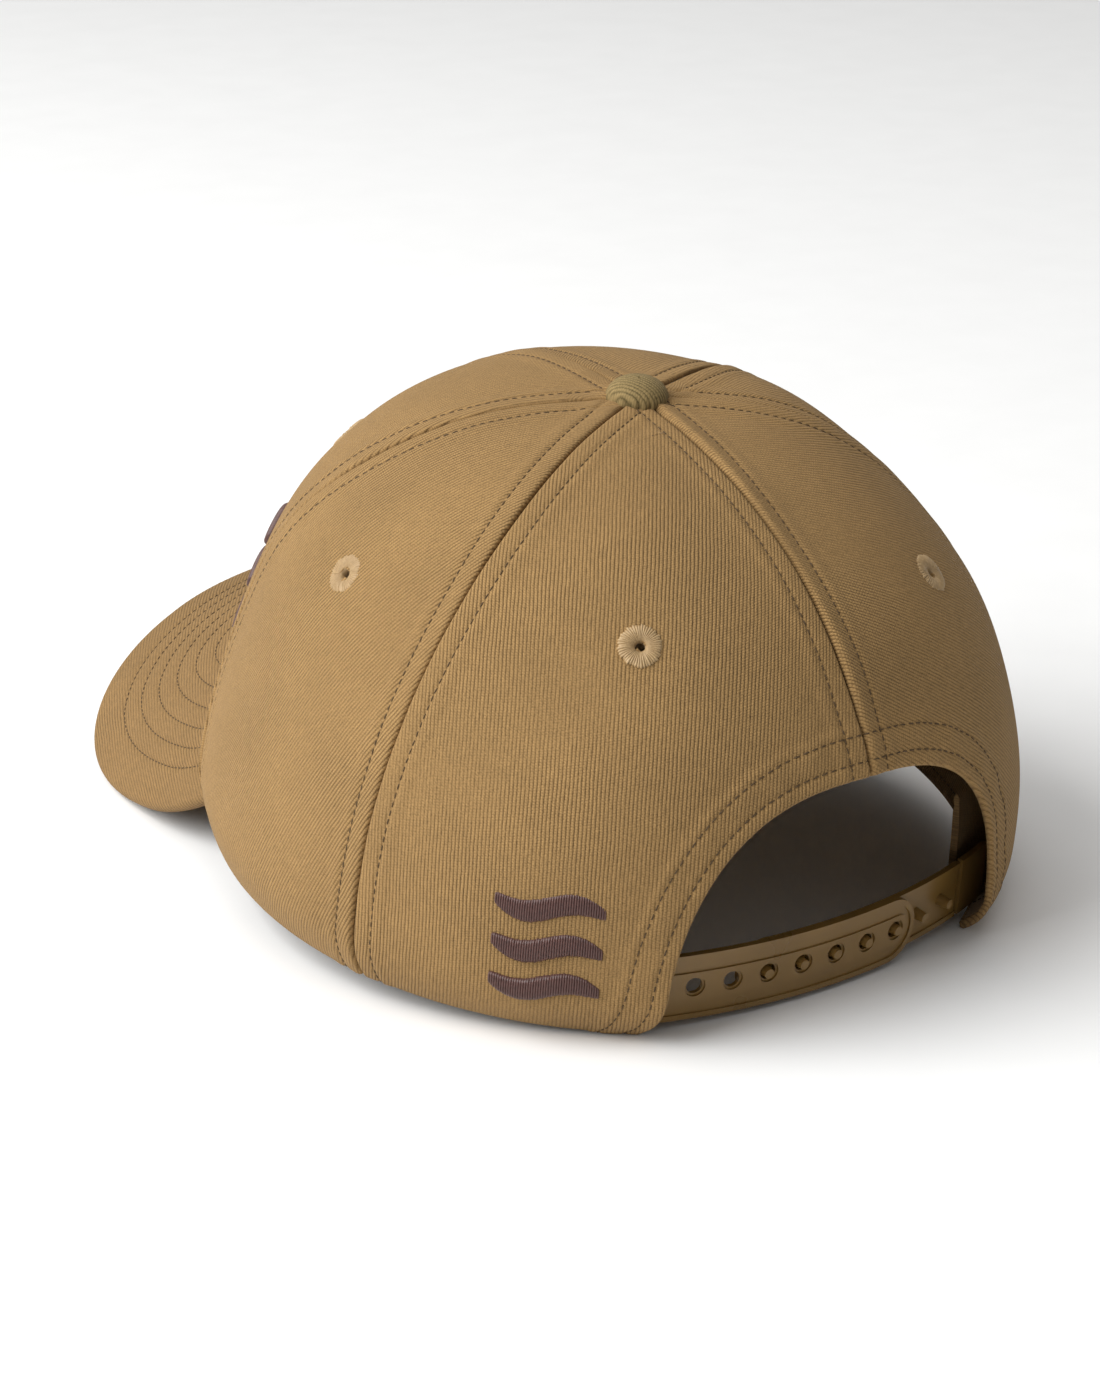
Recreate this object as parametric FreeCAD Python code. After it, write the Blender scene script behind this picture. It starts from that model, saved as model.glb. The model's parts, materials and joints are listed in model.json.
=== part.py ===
import FreeCAD, Part

import math
import os
from FreeCAD import Vector

# A six-panel baseball cap with a curved visor and a plastic snap strap, standing as it rests on a table:
# on the two low edges of the visor and on the back corners of the crown. Millimetres and degrees.
# Axes: the visor points to -Y, the back opening to +Y, the wearer's left is +X and +Z is up.
# Everything is first made level with the crown's lower edge, then tipped back onto the floor.

# --- crown shell ---
CROWN_HALF_WIDTH = 96.4
CROWN_FRONT = 102.3
CROWN_BACK = 100.7
CROWN_HEIGHT = 113.3
WALL_START = 7.4            # height where the wall begins to lean in
RISE_POWER = (2.9, 1.5, 1.7)    # profile exponents at the back, the side and the front
PLAN_POWER = (1.8, 2.9, 3.1)
TUCK_HEIGHT = 13.0          # the lowest stretch is drawn in by the strap and the sweatband
TUCK = (0.08, 0.04, 0.04)
EDGE_SOFTEN = 4.0           # rounds the turn where the lower edge starts to climb over the visor
EDGE_DROP = 0.04

# --- seams between panels: angle from the back, at the edge, half way up and at the button ---
MIDDLE_BACK = (0.0, 0.0, 0.0)
BACK_SEAM = (71.0, 70.4, 63.5)
FRONT_SEAM = (120.5, 129.0, 111.0)
MIDDLE_FRONT = (180.0, 180.0, 180.0)
PANEL_SEAMS = {
    "back": (MIDDLE_BACK, BACK_SEAM),
    "side": (BACK_SEAM, FRONT_SEAM),
    "front": (FRONT_SEAM, MIDDLE_FRONT),
}
SEAM_GAP = 0.15
VISOR_CREASE = 0.6          # the front panels stop this far above the visor

# --- cloth layers, as depths below the outer face ---
CLOTH = 0.9
LINING_FROM = 1.3
LINING_TO = 1.75
STIFFENER_TO = 1.8
STIFFENER_LIFT = 1.0
STIFFENER_HOLE = 12.0       # radius left open under the button
LAYER_GAP = 0.25
BAND_FROM = 2.65
BAND_TO = 3.7
BAND_HEIGHT = 32.0
BAND_LIFT = 0.6
BAND_PLAN_RADIUS = 97.0     # plan radius of the crown where the band ends
BAND_PAST_ARCH = 1.0
BAND_DRAWN_IN = 8.8         # how far the strap draws the band's two ends in towards the head
BAND_DRAWN_OVER = 0.36      # and over what angle that fades, in radians
TAPE_HALF_WIDTH = 8.0
TAPE_THICK = 0.3            # over the stiffeners
TAPE_LIFT = 0.5
TAPE_NARROWEST = 0.38       # half width as a share of the radius, close to the button
TAPE_PAST_BACKING = 1.5
CROWN_HOLE = 4.0            # radius left open under the button

# --- back opening ---
ARCH_HALF_WIDTH = 46.8
ARCH_HEIGHT = 59.3
ARCH_POWER = 2.5
HEM_WIDTH = 11.0
FACING_HALF_ANGLE = 46.0
FACING_TOP = 78.0
OPENING_REACH = 150.0       # how far the tool that cuts the opening goes back
OPENING_BELOW = 6.0

# --- visor: a flat pattern rolled on a cylinder and sloped down to the front ---
VISOR_TOP = 29.9            # height of its upper face where it leaves the front of the crown
VISOR_SLOPE = 22.7
VISOR_ROLL = 90.0
VISOR_HALF_WIDTH = 103.0
VISOR_LENGTH = 51.0
VISOR_WIDEST = -56.8        # how far behind the front of the crown the pattern is widest
VISOR_POWER = 3.08
VISOR_CORNER = 55.0         # angle from the front where the visor's corner meets the crown
CORNER_WIDTH = 4.0
CORNER_TAPER = 30.0
VISOR_CLOTH = 0.8
VISOR_BOARD = 2.2

# --- eyelets and button ---
EYELET_HEIGHTS = {"back": 85.9, "side": 80.5, "front": 85.9}
EYELET_RADIUS = 4.9
EYELET_HOLE = 1.1
EYELET_BARREL = 2.0
EYELET_RAISE = 0.6
EYELET_PATCH = (9.0, 8.0)   # half width and half height of the shell that it is cut from
EYELET_TOOL = 5.0           # reach of the tools that cut it, each way from the outer face
PATCH_TOP_RADIUS = 16.0
BUTTON_RADIUS = 7.0
BUTTON_RISE = 4.6
BUTTON_WALL = 0.7
SHANK_RADIUS = 1.5
BACKING_RADIUS = 7.5
BACKING_THICK = 1.1
BUTTON_CLEARANCE = 0.15
BUTTON_FIT = 0.03           # between the cloth and the pressing, and half of that round the shank
BUTTON_FULLNESS = 0.8       # exponent of the dome's side
BACKING_CHAMFER = 0.5
SHANK_BELOW_BAND = 1.4

# --- embroidery ---
BADGE_ANGLE = 43.5
BADGE_HEIGHT = 23.5
BADGE_WIDTH = 25.0
BADGE_TALL = 29.0
FRONT_BADGE_WIDTH = 146.0
FRONT_BADGE_TALL = 36.0
FRONT_BADGE_HEIGHT = 51.0
SATIN_RAISE = 1.0
FRONT_SATIN_RAISE = 1.8
FRONT_BADGE_RADIUS = 98.0
SATIN_GAP = 0.08            # between the thread and the cloth under it
WAVE_THICKNESS = 0.62       # shares of the spacing between two waves
FRONT_WAVE_THICKNESS = 0.8
WAVE_SWING = 0.17
WAVE_END = 0.35             # thickness at a wave's two ends, as a share of its middle
BADGE_MARGIN = 4.0
BADGE_TOOL = 20.0           # reach of the tool that cuts the waves, each way

# --- snap strap ---
STRAP_RADIUS = 152.0
STRAP_MIDDLE_Y = 86.2       # outer half, middle of its thickness, at the centre of the back
STRAP_MIDDLE_Z = 10.4
STRAP_THICK = 1.5
STRAP_GAP = 0.35
HOLE_HALF_WIDTH = 8.2
PEG_HALF_WIDTH = 7.2
PITCH = 9.2
HOLE_COUNT = 7
FIRST_HOLE_X = 34.6
TIP_BEYOND_HOLE = 6.5
HOLE_RADIUS = 1.95
RECESS_RADIUS = 2.5
RECESS_DEPTH = 0.5
BEAD_WIDTH = 1.3
BEAD_HEIGHT = 0.4
RIB_HALF_WIDTH = 3.6
RIB_BEYOND_HOLE = 2.3
BAND_CUT_LENGTH = 6.0       # of the tools that shape the band, through its whole thickness
TIP_TOOL = (50.0, 60.0)     # Y where the tool that rounds a tip starts, and its depth
PEG_RADIUS = 1.5
PEG_TIP_RADIUS = 1.15
PEG_LENGTH = 2.6
HINGE_X = 45.0
HINGE_CLEARANCE = 0.35
TAB_END_X = 57.0
TAB_ROOM_ANGLE = 60.0       # the space behind the linings that holds the tabs: half angle, height, depth
TAB_ROOM_TOP = 26.0
TAB_ROOM_DEPTH = 16.0


def blend(w, values):
    """Smooth value round the crown: w is 0 at the back, 0.5 at the side and 1 at the front."""
    back, side, front = values
    return back * (1 - w) * (1 - 2 * w) + side * 4 * w * (1 - w) + front * w * (2 * w - 1)


def turn(angle):
    return (1 - math.cos(angle)) / 2


def profile(angle, z, depth):
    """Share of the plan radius that is left at height z."""
    w = turn(angle)
    top = CROWN_HEIGHT - depth
    rise = min(max((z - WALL_START) / (top - WALL_START), 0.0), 1.0)
    share = (1 - rise ** blend(w, RISE_POWER)) ** (1 / blend(w, PLAN_POWER))
    low = min(max((TUCK_HEIGHT - z) / TUCK_HEIGHT, 0.0), 1.0)
    return share * (1 - blend(w, TUCK) * low * low)


def plan_radius(angle, depth):
    half_length = CROWN_BACK if math.cos(angle) > 0 else CROWN_FRONT
    across = math.sin(angle) / (CROWN_HALF_WIDTH - depth)
    along = math.cos(angle) / (half_length - depth)
    return 1 / math.hypot(across, along)


def crown(angle, z, depth=0.0):
    """Point of the crown shell; angle in radians from the back towards the wearer's left."""
    radius = plan_radius(angle, depth) * profile(angle, z, depth)
    return Vector(radius * math.sin(angle), radius * math.cos(angle), z)


def height_at_radius(angle, radius, depth=0.0):
    """Height where the shell has closed in to a small radius under the button."""
    w = turn(angle)
    share = radius / plan_radius(angle, depth)
    rise = (1 - share ** blend(w, PLAN_POWER)) ** (1 / blend(w, RISE_POWER))
    return WALL_START + rise * (CROWN_HEIGHT - depth - WALL_START)


def seam_angle(seam, z):
    return math.radians(blend(min(max(z / CROWN_HEIGHT, 0.0), 1.0), seam))


def visor_point(across, ahead, depth=0.0):
    """Point of the visor from its flat pattern: across from the middle, ahead of the crown's front."""
    roll = across / VISOR_ROLL
    slope = math.radians(VISOR_SLOPE)
    point = Vector(
        VISOR_ROLL * math.sin(roll),
        -(CROWN_FRONT + ahead * math.cos(slope)),
        VISOR_TOP - ahead * math.sin(slope) - VISOR_ROLL * (1 - math.cos(roll)),
    )
    normal = Vector(
        math.sin(roll) * math.cos(slope), -math.cos(roll) * math.sin(slope), math.cos(roll) * math.cos(slope)
    )
    return point - normal.normalize() * depth


def visor_pattern(point):
    """Flat pattern place of a point that lies on the visor."""
    across = VISOR_ROLL * math.asin(max(-1.0, min(1.0, point.x / VISOR_ROLL)))
    return across, -(point.y + CROWN_FRONT) / math.cos(math.radians(VISOR_SLOPE))


def crown_edge(angle):
    """Height of the crown's lower edge: flat at the back and sides, riding up over the visor in front."""
    if math.cos(angle) > -0.2:
        return 0.0
    low, high = -80.0, 60.0
    for _ in range(40):
        z = (low + high) / 2
        across, ahead = visor_pattern(crown(angle, z))
        if z < visor_point(across, ahead).z:
            low = z
        else:
            high = z
    return (z + math.hypot(z, EDGE_SOFTEN)) / 2 - EDGE_DROP


def column(angle_of, z_low, z_high, depth, rows):
    """Points evenly spaced along one upward line of the shell."""
    fine = 160
    heights = [z_high - (z_high - z_low) * (1 - k / fine) ** 3 for k in range(fine + 1)]
    points = [crown(angle_of(z), z, depth) for z in heights]
    run = [0.0]
    for a, b in zip(points, points[1:]):
        run.append(run[-1] + a.distanceToPoint(b))
    result = []
    k = 0
    for row in range(rows):
        goal = run[-1] * row / (rows - 1)
        while k < fine - 1 and run[k + 1] < goal:
            k += 1
        step = (goal - run[k]) / max(run[k + 1] - run[k], 1e-9)
        z = heights[k] + (heights[k + 1] - heights[k]) * min(step, 1.0)
        result.append(crown(angle_of(z), z, depth))
    return result


def skin(grid):
    surface = Part.BSplineSurface()
    surface.interpolate(grid)
    return surface


def solid_between(outer, inner):
    """Closed solid between two grids of the same size."""
    top, bottom = skin(outer), skin(inner)
    faces = [top.toShape(), bottom.toShape()]
    u0, u1, v0, v1 = top.bounds()
    p0, p1, q0, q1 = bottom.bounds()
    sides = ((top.uIso(u0), bottom.uIso(p0)), (top.uIso(u1), bottom.uIso(p1)),
             (top.vIso(v0), bottom.vIso(q0)), (top.vIso(v1), bottom.vIso(q1)))
    for a, b in sides:
        faces.append(Part.makeRuledSurface(a.toShape(), b.toShape()))
    shell = Part.Shell(faces)
    shell.sewShape()
    solid = Part.Solid(Part.Shell(shell.Faces))
    if solid.Volume < 0:
        solid.reverse()
    return solid


def shell_solid(angle_of, lows, highs, columns, rows, near, far):
    """Cloth layer: angle_of(s, z) runs across it, lows(s) and highs(s, depth) bound it."""
    grids = []
    for depth in (near, far):
        grid = []
        for k in range(columns):
            s = k / (columns - 1)
            high = highs(s, depth)
            grid.append(column(lambda z: angle_of(s, z), lows(s), high, depth, rows))
        grids.append(grid)
    return solid_between(*grids)


def seam_pair(left, right):
    """Angle across a panel between two seams, kept clear of both by the seam gap."""
    def angle_of(s, z):
        a, b = seam_angle(left, z), seam_angle(right, z)
        middle = (a + b) / 2
        place = crown(middle, z)
        radius = max(math.hypot(place.x, place.y), 3.0)
        gap = SEAM_GAP / radius
        return (a + gap) + (b - a - 2 * gap) * s
    return angle_of


def edge_height(angle_of, s):
    z = 0.0
    for _ in range(6):
        z = crown_edge(angle_of(s, z))
    return z


def panel(left, right, near=0.0, far=CLOTH, lift=0.0, hole=CROWN_HOLE, columns=11, rows=33):
    angle_of = seam_pair(left, right)
    return shell_solid(
        angle_of,
        lambda s: edge_height(angle_of, s) + lift,
        lambda s, depth: height_at_radius(angle_of(s, CROWN_HEIGHT), hole, depth),
        columns, rows, near, far)


def arch_face(grow=0.0):
    """Outline of the back opening seen from behind, as a face at Y 0."""
    half, top = ARCH_HALF_WIDTH + grow, ARCH_HEIGHT + grow
    count = 24
    points = []
    for k in range(count + 1):
        a = math.pi * k / count
        c, s = math.cos(a), math.sin(a)
        x = half * math.copysign(abs(c) ** (2 / ARCH_POWER), c)
        points.append(Vector(x, 0, top * abs(s) ** (2 / ARCH_POWER)))
    curve = Part.BSplineCurve()
    curve.interpolate(points)
    corner_a, corner_b = Vector(half, 0, -OPENING_BELOW), Vector(-half, 0, -OPENING_BELOW)
    edges = [curve.toShape(), Part.makeLine(points[-1], corner_b), Part.makeLine(corner_b, corner_a),
             Part.makeLine(corner_a, points[0])]
    return Part.Face(Part.Wire(edges))


def arch_prism(grow=0.0):
    return arch_face(grow).extrude(Vector(0, OPENING_REACH, 0))


def frame_at(angle, z):
    """Place, outward normal, sideways and upward directions on the outer face."""
    step = 0.02
    place = crown(angle, z)
    side = (crown(angle + step, z) - crown(angle - step, z)).normalize()
    up = (crown(angle, z + 0.5) - crown(angle, z - 0.5)).normalize()
    outward = side.cross(up).normalize()
    if outward.dot(Vector(place.x, place.y, 0)) < 0:
        outward = outward * -1
    up = (up - outward * up.dot(outward)).normalize()
    return place, outward, side, up


def skin_patch(angle, z, half_width, half_height, near, far):
    """Piece of shell layer round a point, for things sewn on or through the cloth."""
    radius = math.hypot(crown(angle, z).x, crown(angle, z).y)
    spread = half_width / radius
    return shell_solid(
        lambda s, height: angle + spread * (2 * s - 1),
        lambda s: z - half_height,
        lambda s, depth: min(z + half_height, height_at_radius(angle, PATCH_TOP_RADIUS, depth)),
        9, 9, near, far)


EYELETS = {}
for side_name, sign in (("left", 1), ("right", -1)):
    for spot, (start_seam, end_seam) in PANEL_SEAMS.items():
        eyelet_z = EYELET_HEIGHTS[spot]
        EYELETS[spot + "_" + side_name] = (
            sign * (seam_angle(start_seam, eyelet_z) + seam_angle(end_seam, eyelet_z)) / 2, eyelet_z)


def eyelet_post(name, radius):
    place, outward, _, _ = frame_at(*EYELETS[name])
    return Part.makeCylinder(radius, 2 * EYELET_TOOL, place - outward * EYELET_TOOL, outward)


def eyelet(name, through):
    """Satin-stitched ring with its edge wrapped through the cloth."""
    patch = skin_patch(*EYELETS[name], *EYELET_PATCH, -EYELET_RAISE, 0.0)
    flange = patch.common(eyelet_post(name, EYELET_RADIUS))
    sleeve = skin_patch(*EYELETS[name], *EYELET_PATCH, 0.0, through)
    sleeve = sleeve.common(eyelet_post(name, EYELET_BARREL))
    return flange.fuse(sleeve).cut(eyelet_post(name, EYELET_HOLE))


def mirrored(shape):
    return shape.mirror(Vector(0, 0, 0), Vector(1, 0, 0))


def tape(seam, near, far, low, columns=5, rows=33):
    """Seam tape: a strip over the seam, narrowing towards the button."""
    def half_angle(z):
        angle = seam_angle(seam, z)
        radius = math.hypot(crown(angle, z).x, crown(angle, z).y)
        return min(TAPE_HALF_WIDTH, TAPE_NARROWEST * radius) / max(radius, 1.0)

    return shell_solid(
        lambda s, z: seam_angle(seam, z) + half_angle(z) * (2 * s - 1),
        lambda s: low(seam_angle(seam, 0.0) + half_angle(0.0) * (2 * s - 1)),
        lambda s, depth: height_at_radius(
            seam_angle(seam, CROWN_HEIGHT), BACKING_RADIUS + TAPE_PAST_BACKING, depth),
        columns, rows, near, far)


def sweatband():
    """Band inside the lower edge, from one end of the back opening round the front to the other."""
    start = math.asin((ARCH_HALF_WIDTH + BAND_PAST_ARCH) / (BAND_PLAN_RADIUS - BAND_DRAWN_IN))
    grids = []
    columns, rows = 73, 13
    for depth in (BAND_FROM, BAND_TO):
        grid = []
        for k in range(columns):
            angle = start + (2 * math.pi - 2 * start) * k / (columns - 1)
            from_end = min(1.0, min(angle, 2 * math.pi - angle) / BAND_DRAWN_OVER - start / BAND_DRAWN_OVER)
            drawn = BAND_DRAWN_IN * (1 - from_end * from_end * (3 - 2 * from_end))
            low = crown_edge(angle) + BAND_LIFT
            grid.append([crown(angle, low + BAND_HEIGHT * row / (rows - 1), depth + drawn)
                         for row in range(rows)])
        grids.append(grid)
    return solid_between(*grids)


def visor_outline(share, inset=0.0):
    """Outer edge of the visor's pattern, share from -1 to 1, left corner to right corner."""
    start = math.radians(1.0)
    a = math.pi / 2 - share * (math.pi / 2 - start)
    c, s = math.cos(a), math.sin(a)
    half, reach = VISOR_HALF_WIDTH - inset, VISOR_LENGTH - inset - VISOR_WIDEST
    across = half * math.copysign(abs(c) ** (2 / VISOR_POWER), c)
    ahead = VISOR_WIDEST + reach * abs(s) ** (2 / VISOR_POWER)
    corner, corner_ahead = visor_pattern(visor_seam(1.0))
    near = max(0.0, 1 - (ahead - corner_ahead) / CORNER_TAPER)
    trim = (half - corner - CORNER_WIDTH + inset) * near * near
    return across - math.copysign(trim, c), ahead


def visor_seam(share, depth=STIFFENER_TO + LAYER_GAP):
    """Inner edge of the visor, held under the crown's lower edge."""
    angle = math.pi - share * math.radians(VISOR_CORNER)
    return crown(angle, max(crown_edge(angle), 0.0), depth)


def visor_layer(near, far, inset=0.0, back_off=0.0):
    columns, rows = 33, 9
    grids = []
    for depth in (near, far):
        grid = []
        for k in range(columns):
            share = 2 * k / (columns - 1) - 1
            inner_across, inner_ahead = visor_pattern(visor_seam(share, STIFFENER_TO + LAYER_GAP + back_off))
            outer_across, outer_ahead = visor_outline(share, inset)
            line = []
            for row in range(rows):
                t = row / (rows - 1)
                across = inner_across + (outer_across - inner_across) * t
                ahead = inner_ahead + (outer_ahead - inner_ahead) * t
                line.append(visor_point(across, ahead, depth))
            grid.append(line)
        grids.append(grid)
    return solid_between(*grids)


def wave_half(pitch, thickness, t):
    """Half the thickness of a wave at a share t of its length."""
    return pitch * thickness / 2 * (WAVE_END + (1 - WAVE_END) * math.sin(math.pi * t) ** 0.5)


def wave_faces(width, tall, bars=3):
    """Generic motif of stacked waves, in X and Y, centred."""
    pitch = tall / bars
    swing = pitch * WAVE_SWING
    count = 14
    faces = []
    for bar in range(bars):
        middle = (bar - (bars - 1) / 2) * pitch
        upper, lower = [], []
        for k in range(count + 1):
            t = k / count
            x = (t - 0.5) * width
            y = middle + swing * math.sin(2 * math.pi * t)
            half = wave_half(pitch, WAVE_THICKNESS, t)
            upper.append(Vector(x, y + half, 0))
            lower.append(Vector(x, y - half, 0))
        top, bottom = Part.BSplineCurve(), Part.BSplineCurve()
        top.interpolate(upper)
        bottom.interpolate(lower)
        edges = [top.toShape(), Part.makeLine(upper[-1], lower[-1]), bottom.toShape(),
                 Part.makeLine(lower[0], upper[0])]
        faces.append(Part.Face(Part.Wire(Part.__sortEdges__(edges))))
    return faces


def embroidery(angle, z, width, tall, raise_by):
    """Satin-stitched waves standing on the cloth."""
    place, outward, side, up = frame_at(angle, z)
    spin = FreeCAD.Matrix(side.x, up.x, outward.x, place.x, side.y, up.y, outward.y, place.y,
                          side.z, up.z, outward.z, place.z, 0, 0, 0, 1)
    patch = skin_patch(angle, z, width / 2 + BADGE_MARGIN, tall / 2 + BADGE_MARGIN, -raise_by, -SATIN_GAP)
    bars = []
    for face in wave_faces(width, tall):
        block = face.extrude(Vector(0, 0, 2 * BADGE_TOOL))
        block.translate(Vector(0, 0, -BADGE_TOOL))
        block = block.transformGeometry(spin)
        bars.extend(patch.common(block).Solids)
    return Part.makeCompound(bars)


def front_embroidery():
    """The same waves, larger, laid round the curve of the two front panels."""
    bars = []
    pitch = FRONT_BADGE_TALL / 3
    columns, rows = 25, 5
    for bar in range(3):
        grids = []
        for depth in (-FRONT_SATIN_RAISE, -SATIN_GAP):
            grid = []
            for k in range(columns):
                t = k / (columns - 1)
                angle = math.pi + (t - 0.5) * FRONT_BADGE_WIDTH / FRONT_BADGE_RADIUS
                swing = WAVE_SWING * math.sin(2 * math.pi * t)
                middle = FRONT_BADGE_HEIGHT + (bar - 1 + swing) * pitch
                half = wave_half(pitch, FRONT_WAVE_THICKNESS, t)
                grid.append([crown(angle, middle + half * (2 * row / (rows - 1) - 1), depth)
                             for row in range(rows)])
            grids.append(grid)
        bars.append(solid_between(*grids))
    return Part.makeCompound(bars)


def turned(points):
    """Solid of revolution about the button's axis from radius-and-height points."""
    wire = Part.makePolygon([Vector(r, 0, z) for r, z in points + points[:1]])
    return Part.Face(wire).revolve(Vector(0, 0, 0), Vector(0, 0, 1), 360)


def dome(radius, rise, base, steps=10):
    result = []
    for k in range(steps + 1):
        a = math.pi / 2 * k / steps
        result.append((radius * math.cos(a) ** BUTTON_FULLNESS, base + rise * math.sin(a)))
    result[-1] = (0.0, base + rise)
    return result


def button_cover():
    """Cloth cap pressed over the button and turned in underneath."""
    base = CROWN_HEIGHT + BUTTON_CLEARANCE
    outside = dome(BUTTON_RADIUS, BUTTON_RISE, base)
    inside = dome(BUTTON_RADIUS - BUTTON_WALL, BUTTON_RISE - BUTTON_WALL, base)
    return turned(outside + list(reversed(inside)))


def button_core():
    """Pressed shell under the cloth with the shank that goes down through the crown."""
    base = CROWN_HEIGHT + BUTTON_CLEARANCE
    inset = BUTTON_WALL + BUTTON_FIT
    crest = dome(BUTTON_RADIUS - inset, BUTTON_RISE - inset, base)
    foot = CROWN_HEIGHT - BAND_FROM - SHANK_BELOW_BAND
    return turned(crest + [(0.0, foot), (SHANK_RADIUS, foot), (SHANK_RADIUS, base)])


def button_backing():
    """Domed washer riveted inside the crown."""
    top = CROWN_HEIGHT - STIFFENER_TO - BUTTON_CLEARANCE
    low = top - BACKING_THICK
    hole = SHANK_RADIUS + BUTTON_FIT
    rim = BACKING_RADIUS - BACKING_CHAMFER
    return turned([(hole, low), (rim, low), (BACKING_RADIUS, low + BACKING_CHAMFER), (rim, top), (hole, top)])


def strap_centre():
    return Vector(0, STRAP_MIDDLE_Y - STRAP_RADIUS, 0)


def strap_angle(x, radius=STRAP_RADIUS):
    return math.asin(x / radius)


def strap_band(x_from, x_to, radius, half_width, thick):
    """Curved band between two places across the back, square ended."""
    centre = strap_centre()
    a, b = strap_angle(x_from, radius), strap_angle(x_to, radius)
    edges = []
    for r, p, q in ((radius + thick / 2, a, b), (radius - thick / 2, b, a)):
        points = [centre + Vector(r * math.sin(g), r * math.cos(g), 0) for g in (p, (p + q) / 2, q)]
        edges.append(Part.Arc(*points).toShape())
    edges.insert(1, Part.makeLine(edges[0].Vertexes[-1].Point, edges[1].Vertexes[0].Point))
    edges.append(Part.makeLine(edges[2].Vertexes[-1].Point, edges[0].Vertexes[0].Point))
    face = Part.Face(Part.Wire(Part.__sortEdges__(edges)))
    face.translate(Vector(0, 0, STRAP_MIDDLE_Z - half_width))
    return face.extrude(Vector(0, 0, 2 * half_width))


def strap_direction(x, radius):
    a = strap_angle(x, radius)
    return Vector(math.sin(a), math.cos(a), 0)


def strap_pin(x, radius, pin_radius, near, far, tip_radius=None):
    """Round pin or hole across the band, from near to far out of the band's middle."""
    direction = strap_direction(x, radius)
    start = strap_centre() + direction * (radius + near) + Vector(0, 0, STRAP_MIDDLE_Z)
    if tip_radius is None:
        return Part.makeCylinder(pin_radius, far - near, start, direction)
    return Part.makeCone(pin_radius, tip_radius, far - near, start, direction)


def rounded_tip(x_tip, side, half_width):
    """Block seen face on that rounds the free end of a band, which points to +X for side 1."""
    start, deep = TIP_TOOL
    reach = 2 * TAB_END_X
    x_round = x_tip - side * half_width
    corner = Vector(x_round if side < 0 else x_round - reach, start, STRAP_MIDDLE_Z - half_width)
    wide = Part.makeBox(reach, deep, 2 * half_width, corner)
    end = Part.makeCylinder(half_width, deep, Vector(x_round, start, STRAP_MIDDLE_Z), Vector(0, 1, 0))
    return wide.fuse(end)


HOLE_XS = [STRAP_RADIUS * math.sin(strap_angle(FIRST_HOLE_X) - k * PITCH / STRAP_RADIUS)
           for k in range(HOLE_COUNT + 2)]
INNER_RADIUS = STRAP_RADIUS - STRAP_THICK - STRAP_GAP


def bead_floor(x_from, x_to, x_tip, side, radius, half_width):
    """What is taken off the outer face of a band to leave a raised bead round its edge."""
    inside = half_width - BEAD_WIDTH
    floor = strap_band(x_from, x_to, radius + STRAP_THICK / 2, inside, 2 * BEAD_HEIGHT)
    return floor.common(rounded_tip(x_tip - side * BEAD_WIDTH, side, inside))


def strap_holes():
    """Outer half: band with a bead round its edge and seven recessed holes along a raised rib."""
    tip = HOLE_XS[HOLE_COUNT - 1] - TIP_BEYOND_HOLE
    band = strap_band(tip, HINGE_X, STRAP_RADIUS, HOLE_HALF_WIDTH, STRAP_THICK)
    band = band.common(rounded_tip(tip, -1, HOLE_HALF_WIDTH))
    rib_tip = HOLE_XS[HOLE_COUNT - 1] - RIB_HALF_WIDTH - RIB_BEYOND_HOLE + STRAP_THICK
    face = STRAP_RADIUS + STRAP_THICK / 2
    rib = strap_band(tip, HINGE_X + BEAD_WIDTH, face, RIB_HALF_WIDTH, 2 * BEAD_HEIGHT)
    rib = rib.common(rounded_tip(rib_tip, -1, RIB_HALF_WIDTH))
    floor = bead_floor(tip, HINGE_X + BEAD_WIDTH, tip, -1, STRAP_RADIUS, HOLE_HALF_WIDTH)
    band = band.cut(floor.cut(rib))
    beyond = BAND_CUT_LENGTH / 2
    for x in HOLE_XS[:HOLE_COUNT]:
        band = band.cut(strap_pin(x, STRAP_RADIUS, HOLE_RADIUS, -beyond, beyond))
        band = band.cut(strap_pin(x, STRAP_RADIUS, RECESS_RADIUS, STRAP_THICK / 2 - RECESS_DEPTH, beyond))
    return band.Solids[0]


def strap_pegs():
    """Inner half: beaded band with seven pegs pointing outwards through the other half's holes."""
    tip = HOLE_XS[2] + TIP_BEYOND_HOLE
    band = strap_band(-HINGE_X, tip, INNER_RADIUS, PEG_HALF_WIDTH, STRAP_THICK)
    band = band.common(rounded_tip(tip, 1, PEG_HALF_WIDTH))
    band = band.cut(bead_floor(-HINGE_X - BEAD_WIDTH, tip, tip, 1, INNER_RADIUS, PEG_HALF_WIDTH))
    peg_end = STRAP_THICK / 2 + PEG_LENGTH
    for x in HOLE_XS[2:]:
        band = band.fuse(strap_pin(x, INNER_RADIUS, PEG_RADIUS, 0, peg_end, PEG_TIP_RADIUS))
    return band.removeSplitter().Solids[0]


def strap_tab(side):
    """End of a strap half that is sewn in behind the cloth at the side of the back opening."""
    radius = STRAP_RADIUS if side > 0 else INNER_RADIUS
    half = HOLE_HALF_WIDTH if side > 0 else PEG_HALF_WIDTH
    start = HINGE_X + HINGE_CLEARANCE + STRAP_THICK / 2
    band = strap_band(*sorted((side * start, side * TAB_END_X)), radius, half, STRAP_THICK)
    room = shell_solid(
        lambda s, z: math.radians(TAB_ROOM_ANGLE * (2 * s - 1)), lambda s: 0.0, lambda s, depth: TAB_ROOM_TOP,
        25, 7, LINING_TO + LAYER_GAP, TAB_ROOM_DEPTH)
    return band.common(room).Solids[0]


def tape_low(angle):
    return crown_edge(angle) + TAPE_LIFT


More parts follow.
